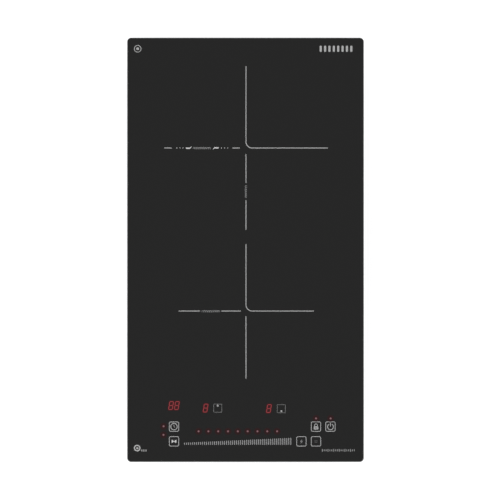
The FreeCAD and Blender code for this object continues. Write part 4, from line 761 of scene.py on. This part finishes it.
def power_sign(ink, x, y):
    """An open ring with a bar in its gap."""
    ink.stroke(arc_points(x, y - 0.2 * MM, 3.6 * MM, 125, 415, 30), 1.05 * MM)
    ink.stroke([(x, y + 4.3 * MM), (x, y + 0.4 * MM)], 1.0 * MM)


def bolt_sign(ink, x, y):
    """A flash, for full power."""
    flash = [(0.9, 3.2), (-1.9, -0.5), (-0.3, -0.5), (-0.9, -3.2), (1.9, 0.6), (0.3, 0.6)]
    ink.slab([(x + px * MM, y + py * MM) for px, py in flash])


def warm_sign(ink, x, y):
    """Three short bars over a long one, for keeping food warm."""
    for k in (-1, 0, 1):
        ink.slab(round_box(x + 1.3 * k * MM, y + 0.6 * MM, 0.6 * MM, 1.9 * MM, 0.2 * MM, 3))
    ink.slab(round_box(x, y - 1.1 * MM, 3.8 * MM, 0.6 * MM, 0.2 * MM, 3))


KEYS = ((-87.6, -216.6, clock_sign, "signs"), (-87.6, -234.7, bow_sign, "bright"),
        (86.4, -216.6, lock_sign, "signs"), (104.1, -216.6, power_sign, "signs"),
        (68.5, -234.7, bolt_sign, "soft"), (86.4, -234.7, warm_sign, "faint"))
KEY_RADIUS = 2.1
ZONE_SQUARES = ((-34.0, -194.0, 1), (43.9, -194.7, -1))
SQUARE_SIZE, SQUARE_RADIUS, SQUARE_LINE = 10.4, 0.9, 0.5
SPOT_WIDE, SPOT_HIGH, SPOT_RADIUS, SPOT_OFF = 2.2, 2.5, 0.9, 3.0


class HOB_OT_keys(HobOperator):
    """Print the touch keys' frames and the signs inside them"""
    bl_idname = "hob.keys"
    bl_label = "Keys"

    def execute(self, context):
        settings = context.scene.hob_print
        frames = Print()
        inks = {name: Print() for name in ("signs", "soft", "faint", "bright")}
        for x, y, sign, ink in KEYS:
            frames.frame(x * MM, y * MM, settings.key, KEY_RADIUS * MM, settings.key_line)
            sign(inks[ink], x * MM, y * MM)
        for x, y, up in ZONE_SQUARES:
            inks["soft"].frame(x * MM, y * MM, SQUARE_SIZE * MM, SQUARE_RADIUS * MM, SQUARE_LINE * MM)
            inks["signs"].slab(round_box(x * MM, (y + SPOT_OFF * up) * MM, SPOT_WIDE * MM,
                                         SPOT_HIGH * MM, SPOT_RADIUS * MM))
        frames.done("key_frames", ink_material("frame_ink", settings.grey))
        inks["signs"].done("key_signs", ink_material("key_ink", tinted(settings.grey, 0.85)))
        inks["soft"].done("key_soft_signs", ink_material("soft_ink", settings.dim))
        inks["faint"].done("key_faint_signs", ink_material("faint_ink", tinted(settings.dim, 0.4)))
        inks["bright"].done("key_bright_signs", ink_material("bright_ink", settings.bright))
        return {"FINISHED"}


class HOB_OT_casing(HobOperator):
    """Finish the sheet-metal casing, its screws, clips, seal and label"""
    bl_idname = "hob.casing"
    bl_label = "Casing"

    def execute(self, context):
        finish = context.scene.hob_finish
        steel = sheet_steel("galvanised_sheet", finish.steel)
        for node in ("base_pan", "support_frame"):
            finish_node(node, steel)
        finish_node("worktop_seal", worn_material(
            "foam_strip", finish.foam, roughness=0.92, scale=2200.0, amount=0.6, wear=0.15,
            dust=0.03, relief=0.5))
        finish_node("adhesive_bead", worn_material(
            "silicone_bead", (0.03, 0.03, 0.032), roughness=0.4, scale=120.0, wear=0.0, relief=0.1))
        clip = rolled_metal("spring_strip", finish.spring, 0.26, (40.0, 1.0, 40.0))
        for node in NODES:
            if node.startswith("spring_clip"):
                finish_node(node, clip)
        zinc = rolled_metal("zinc_plate", (0.6, 0.6, 0.56), 0.3, (20.0, 20.0, 20.0))
        for node in ("pan_screws", "board_screws", "coil_guide_screws"):
            finish_node(node, zinc)
        finish_node("rating_plate", rolled_metal("label_foil", (0.72, 0.72, 0.72), 0.4))
        finish_node("shield_plate", rolled_metal("mill_aluminium", (0.68, 0.69, 0.7), 0.34,
                                                 (60.0, 1.0, 60.0)))
        return {"FINISHED"}


def wire_path(settings, start, end):
    """Points of a flat spiral from one radius to the other, about the origin."""
    points = []
    turn = 0.0
    radius = start
    while radius < end:
        points.append(Vector((radius * math.cos(turn), radius * math.sin(turn), 0.0)))
        step = 0.7 * settings.strand / radius
        turn += step
        radius += settings.strand * step / (2 * math.pi)
    return points


def litz_mesh(name, parts, settings, thick):
    """A twisted bundle along each path: a lobed section that turns as it goes."""
    mesh = bmesh.new()
    sides = settings.lobes * 2
    for path in parts:
        travelled = 0.0
        rings = []
        for k, point in enumerate(path):
            ahead = (path[min(k + 1, len(path) - 1)] - path[max(k - 1, 0)]).normalized()
            across = Vector((-ahead.y, ahead.x, 0.0))
            travelled += (point - path[k - 1]).length if k else 0.0
            spin = 2 * math.pi * travelled / settings.twist
            ring = []
            for side in range(sides):
                angle = 2 * math.pi * side / sides
                lobe = 1.0 if side % 2 == 0 else 0.8
                wide = math.cos(angle + spin) * lobe * settings.strand * 0.5
                high = math.sin(angle + spin) * lobe * thick / 2
                ring.append(mesh.verts.new(point + across * wide + Vector((0, 0, high))))
            rings.append(ring)
        for lower, upper in zip(rings, rings[1:]):
            for side in range(sides):
                n = (side + 1) % sides
                mesh.faces.new((lower[side], lower[n], upper[n], upper[side]))
        mesh.faces.new(rings[0][::-1])
        mesh.faces.new(rings[-1])
    bmesh.ops.recalc_face_normals(mesh, faces=mesh.faces)
    data = bpy.data.meshes.new(name)
    mesh.to_mesh(data)
    mesh.free()
    for face in data.polygons:
        face.use_smooth = True
    return data


class HOB_OT_coils(HobOperator):
    """Wind the stranded copper and finish what floats under each zone"""
    bl_idname = "hob.coils"
    bl_label = "Coils"

    def execute(self, context):
        settings = context.scene.hob_coil
        finish = context.scene.hob_finish
        copper = worn_material("varnished_copper", finish.copper, (0.4, 0.13, 0.06),
                               (0.85, 0.45, 0.28), roughness=0.3, scale=1800.0, amount=0.5,
                               wear=0.4, relief=0.15, Metallic=0.9)
        for name in ("rear", "front"):
            low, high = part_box(f"{name}_coil_winding")
            outer = (high.x - low.x) / 2 - settings.strand / 2
            thick = high.z - low.z
            paths = [wire_path(settings, settings.eye, settings.gap_at),
                     wire_path(settings, settings.gap_at + settings.gap, outer)]
            data = litz_mesh(f"{name}_litz_winding", paths, settings, thick)
            data.transform(Matrix.Translation((low + high) / 2))
            data.materials.append(copper)
            piece = bpy.data.objects.new(f"{name}_litz_winding", data)
            context.scene.collection.objects.link(piece)
            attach(piece, f"{name}_coil")
            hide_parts(f"{name}_coil_winding")
        former = worn_material("glass_filled_nylon", finish.plastic, roughness=0.6, scale=700.0)
        ferrite = worn_material("sintered_ferrite", (0.035, 0.035, 0.038), roughness=0.55,
                                scale=900.0, wear=0.6, relief=0.2)
        mica = worn_material("pressed_mica", (0.5, 0.44, 0.32), (0.72, 0.68, 0.55),
                             roughness=0.35, scale=500.0, amount=0.6, relief=0.2)
        sensor = worn_material("sensor_cup", (0.5, 0.47, 0.42), roughness=0.65, scale=300.0)
        sleeve = worn_material("glass_sleeve", (0.66, 0.62, 0.52), (0.5, 0.46, 0.38),
                               roughness=0.85, scale=2500.0, amount=0.7, relief=0.5)
        spring = rolled_metal("spring_wire", finish.spring, 0.25)
        for name in ("rear", "front"):
            finish_node(f"{name}_coil_former", former)
            finish_node(f"{name}_ferrite_bars", ferrite)
            finish_node(f"{name}_mica_sheet", mica)
            finish_node(f"{name}_coil_sensor", sensor)
            self.stretching(context, name, f"{name}_coil_springs", spring, "spring_steel")
            self.stretching(context, name, f"{name}_coil_leads", sleeve, "white_lead")
        return {"FINISHED"}

    @staticmethod
    def stretching(context, name, node, made, slot):
        """A copy of a CAD piece in its own material, set where the CAD piece stands, which is hidden."""
        data = NODES[node].data.copy()
        data.materials.clear()
        data.materials.append(made)
        piece = bpy.data.objects.new(f"{node}_flexing", data)
        context.scene.collection.objects.link(piece)
        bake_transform(piece)
        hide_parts(node)


class HOB_OT_blower(HobOperator):
    """Finish the blower, its motor and its duct"""
    bl_idname = "hob.blower"
    bl_label = "Blower"

    def execute(self, context):
        plastic = context.scene.hob_finish.plastic
        moulded = worn_material("blower_moulding", plastic, roughness=0.5, scale=900.0, dust=0.15)
        for node in ("blower_scroll", "blower_cover", "air_duct"):
            finish_node(node, moulded)
        finish_node("fan_rotor", worn_material("rotor_moulding", tinted(plastic, 1.3),
                                               roughness=0.42, scale=700.0, dust=0.2))
        finish_node("fan_motor", rolled_metal("core_plates", (0.35, 0.32, 0.3), 0.4, (1.0, 1.0, 90.0)))
        finish_node("fan_bearing", rolled_metal("sintered_bronze", (0.55, 0.36, 0.18), 0.4))
        finish_node("fan_shaft", rolled_metal("ground_shaft", (0.7, 0.7, 0.72), 0.15))
        return {"FINISHED"}


def board_material(base):
    """Lacquered circuit board with tracks under the lacquer and tinned pads."""
    made, tree, principled = shader("lacquered_board", Coat_Roughness=0.1)
    tracks = use_group(tree, "board")
    group = use_group(tree, "surface", Colour=base, Grain_Colour=tinted(base, 0.8),
                      Edge_Colour=(0.4, 0.36, 0.2), Grain_Scale=600.0, Grain=0.3, Edge_Wear=0.7,
                      Dust=0.05, Roughness=0.35)
    lit = mix(tree, math_node(tree, "MULTIPLY", tracks.outputs["Track"], 0.7),
              group.outputs["Colour"], tinted(base, 1.9))
    tinned = mix(tree, tracks.outputs["Pad"], lit, (0.6, 0.6, 0.58))
    tree.links.new(tinned, principled.inputs["Base Color"])
    tree.links.new(group.outputs["Roughness"], principled.inputs["Roughness"])
    tree.links.new(math_node(tree, "MULTIPLY", tracks.outputs["Pad"], 0.9),
                   principled.inputs["Metallic"])
    bump(tree, principled, tracks.outputs["Height"], 0.25, 0.0001)
    return made


class HOB_OT_electronics(HobOperator):
    """Finish the boards, their components and the touch control"""
    bl_idname = "hob.electronics"
    bl_label = "Electronics"

    def execute(self, context):
        finish = context.scene.hob_finish
        board = board_material(finish.board)
        for node in ("power_board", "filter_board", "control_board"):
            finish_node(node, board)
        epoxy = worn_material("moulded_epoxy", (0.02, 0.02, 0.021), roughness=0.45, scale=1400.0)
        for node in ("power_transistors", "bridge_rectifier", "supply_transformer"):
            finish_node(node, epoxy)
        finish_node("heatsink", rolled_metal("extruded_aluminium", (0.62, 0.63, 0.65), 0.32,
                                             (60.0, 1.0, 60.0)))
        plastics = {
            "film_capacitors": ("film_box", (0.62, 0.42, 0.05), 0.3, 300.0),
            "electrolytic_capacitors": ("shrink_sleeve", (0.03, 0.035, 0.07), 0.25, 500.0),
            "mains_fuse": ("fuse_tube", (0.7, 0.69, 0.64), 0.2, 200.0),
            "board_standoffs": ("natural_nylon", (0.66, 0.64, 0.56), 0.5, 350.0),
            "control_tray": ("tray_moulding", (0.68, 0.68, 0.66), 0.5, 500.0),
            "timer_display": ("timer_window", (0.06, 0.008, 0.008), 0.15, 800.0),
            "zone_displays": ("digit_window", (0.06, 0.008, 0.008), 0.15, 800.0),
            "indicator_lamps": ("lamp_epoxy", (0.45, 0.03, 0.025), 0.12, 250.0),
            "control_ribbon": ("flat_cable", (0.36, 0.36, 0.38), 0.45, 900.0),
        }
        for node, (name, base, roughness, scale) in plastics.items():
            finish_node(node, worn_material(name, base, roughness=roughness, scale=scale))
        finish_node("common_mode_choke", worn_material(
            "enamelled_wire", finish.copper, (0.3, 0.1, 0.04), roughness=0.25, scale=2600.0,
            amount=0.6, relief=0.4, Metallic=0.8))
        finish_node("touch_springs", rolled_metal("contact_wire", finish.spring, 0.22))
        return {"FINISHED"}


class HOB_OT_terminal(HobOperator):
    """Finish the mains terminal box, its cover and the cable gland"""
    bl_idname = "hob.terminal"
    bl_label = "Terminal box"

    def execute(self, context):
        plastic = context.scene.hob_finish.plastic
        nylon = worn_material("terminal_nylon", plastic, roughness=0.55, scale=800.0, wear=0.4)
        for node in ("terminal_housing", "terminal_block", "terminal_cover"):
            finish_node(node, nylon)
        finish_node("cable_gland", worn_material("gland_rubber", tinted(plastic, 0.9),
                                                 roughness=0.75, scale=1200.0, relief=0.2))
        finish_node("terminal_screws", rolled_metal("plated_brass", (0.68, 0.5, 0.2), 0.25))
        finish_node("terminal_cover_pins", rolled_metal("pin_steel", (0.62, 0.62, 0.64), 0.25))
        finish_node("mains_leads", worn_material("brown_insulation", (0.13, 0.06, 0.03),
                                                 roughness=0.45, scale=400.0))
        return {"FINISHED"}


class HOB_OT_stage(HobOperator):
    """Lay the floor, set the light and hang the camera over the hob"""
    bl_idname = "hob.stage"
    bl_label = "Stage"

    def execute(self, context):
        settings = context.scene.hob_stage
        self.floor(settings)
        self.sky(context.scene, settings)
        self.softboxes(settings)
        self.camera(context.scene, settings)
        context.scene.view_settings.view_transform = "Standard"
        return {"FINISHED"}

    def floor(self, settings):
        half = settings.floor_size / 2
        mesh = bpy.data.meshes.new("studio_floor")
        spots = [(-half, -half), (half, -half), (half, half), (-half, half)]
        level = CAD_LOW.z - settings.floor_gap
        mesh.from_pydata([(x, y, level) for x, y in spots], [], [(0, 1, 2, 3)])
        made, tree, principled = shader("pale_floor", Roughness=0.9,
                                        Emission_Strength=settings.floor_glow)
        principled.inputs["Base Color"].default_value = (0.3, 0.3, 0.3, 1.0)
        principled.inputs["Emission Color"].default_value = (1.0, 1.0, 1.0, 1.0)
        principled.inputs["Specular IOR Level"].default_value = 0.0
        self.clear_from_below(tree, principled)
        mesh.materials.append(made)
        floor = bpy.data.objects.new("studio_floor", mesh)
        bpy.context.scene.collection.objects.link(floor)

    def clear_from_below(self, tree, principled):
        """The floor's underside lets the hob's underside be seen."""
        facing = tree.nodes.new("ShaderNodeNewGeometry")
        clear = tree.nodes.new("ShaderNodeBsdfTransparent")
        either = tree.nodes.new("ShaderNodeMixShader")
        tree.links.new(facing.outputs["Backfacing"], either.inputs[0])
        tree.links.new(principled.outputs[0], either.inputs[1])
        tree.links.new(clear.outputs[0], either.inputs[2])
        end = next(node for node in tree.nodes if node.type == "OUTPUT_MATERIAL")
        tree.links.new(either.outputs[0], end.inputs["Surface"])

    def sky(self, scene, settings):
        """Bright at the horizon and dim overhead, so that the glass stays dark from above."""
        world = bpy.data.worlds.new("studio_sky")
        world.use_nodes = True
        tree = world.node_tree
        where = tree.nodes.new("ShaderNodeTexCoord").outputs["Generated"]
        height = add_node(tree, "ShaderNodeSeparateXYZ", Vector=where).outputs["Z"]
        high, low = [settings.sky_high] * 3, [settings.sky_low] * 3
        shade = mix(tree, ramp(tree, height, 0.1, 0.8), low, high)
        tree.links.new(shade, tree.nodes["Background"].inputs["Color"])
        scene.world = world

    def softboxes(self, settings):
        """Four large lamps round the hob, each aimed at its middle."""
        for k in range(4):
            angle = math.radians(45 + 90 * k)
            data = bpy.data.lights.new(f"softbox_{k + 1}", "AREA")
            data.size = settings.lamp_size
            data.energy = settings.lamp_power * (1.25 if k == 2 else 1.0)
            lamp = bpy.data.objects.new(f"softbox_{k + 1}", data)
            away = Vector((math.cos(angle), math.sin(angle), 0.95)).normalized()
            lamp.location = away * settings.lamp_far
            lamp.rotation_euler = away.to_track_quat("Z", "Y").to_euler()
            bpy.context.scene.collection.objects.link(lamp)

    def camera(self, scene, settings):
        data = bpy.data.cameras.new("camera")
        data.lens = settings.lens
        data.sensor_width = settings.sensor
        camera = bpy.data.objects.new("camera", data)
        distance = settings.view_wide * settings.lens / settings.sensor
        centre = (GLASS_LOW + GLASS_HIGH) / 2
        camera.location = (centre.x + settings.view_across, centre.y + settings.view_along,
                           GLASS_HIGH.z + distance)
        scene.collection.objects.link(camera)
        scene.camera = camera


STEPS = (HOB_OT_glass, HOB_OT_zones, HOB_OT_corner_marks, HOB_OT_displays, HOB_OT_slider,
         HOB_OT_keys, HOB_OT_casing, HOB_OT_coils, HOB_OT_blower, HOB_OT_electronics,
         HOB_OT_terminal, HOB_OT_stage)


class HOB_PT_panel(bpy.types.Panel):
    """Lists the hob's steps and settings"""
    bl_idname = "HOB_PT_panel"
    bl_label = "Induction hob"
    bl_space_type = "VIEW_3D"
    bl_region_type = "UI"
    bl_category = "Hob"

    def draw(self, context):
        for step in STEPS:
            self.layout.operator(step.bl_idname)
        for name in SETTINGS:
            box = self.layout.box()
            group = getattr(context.scene, name)
            for key in group.__annotations__:
                box.prop(group, key)


SETTINGS = {"hob_print": HobPrintSettings, "hob_finish": HobFinishSettings,
            "hob_coil": HobCoilSettings, "hob_stage": HobStageSettings}


def register():
    for name, group in SETTINGS.items():
        bpy.utils.register_class(group)
        setattr(bpy.types.Scene, name, bpy.props.PointerProperty(type=group))
    for item in (*STEPS, HOB_PT_panel):
        bpy.utils.register_class(item)


def unregister():
    for item in (HOB_PT_panel, *reversed(STEPS)):
        bpy.utils.unregister_class(item)
    for name, group in reversed(SETTINGS.items()):
        delattr(bpy.types.Scene, name)
        bpy.utils.unregister_class(group)


def main():
    register()
    for step in STEPS:
        area, name = step.bl_idname.split(".")
        getattr(getattr(bpy.ops, area), name)()


if __name__ == "__main__":
    main()
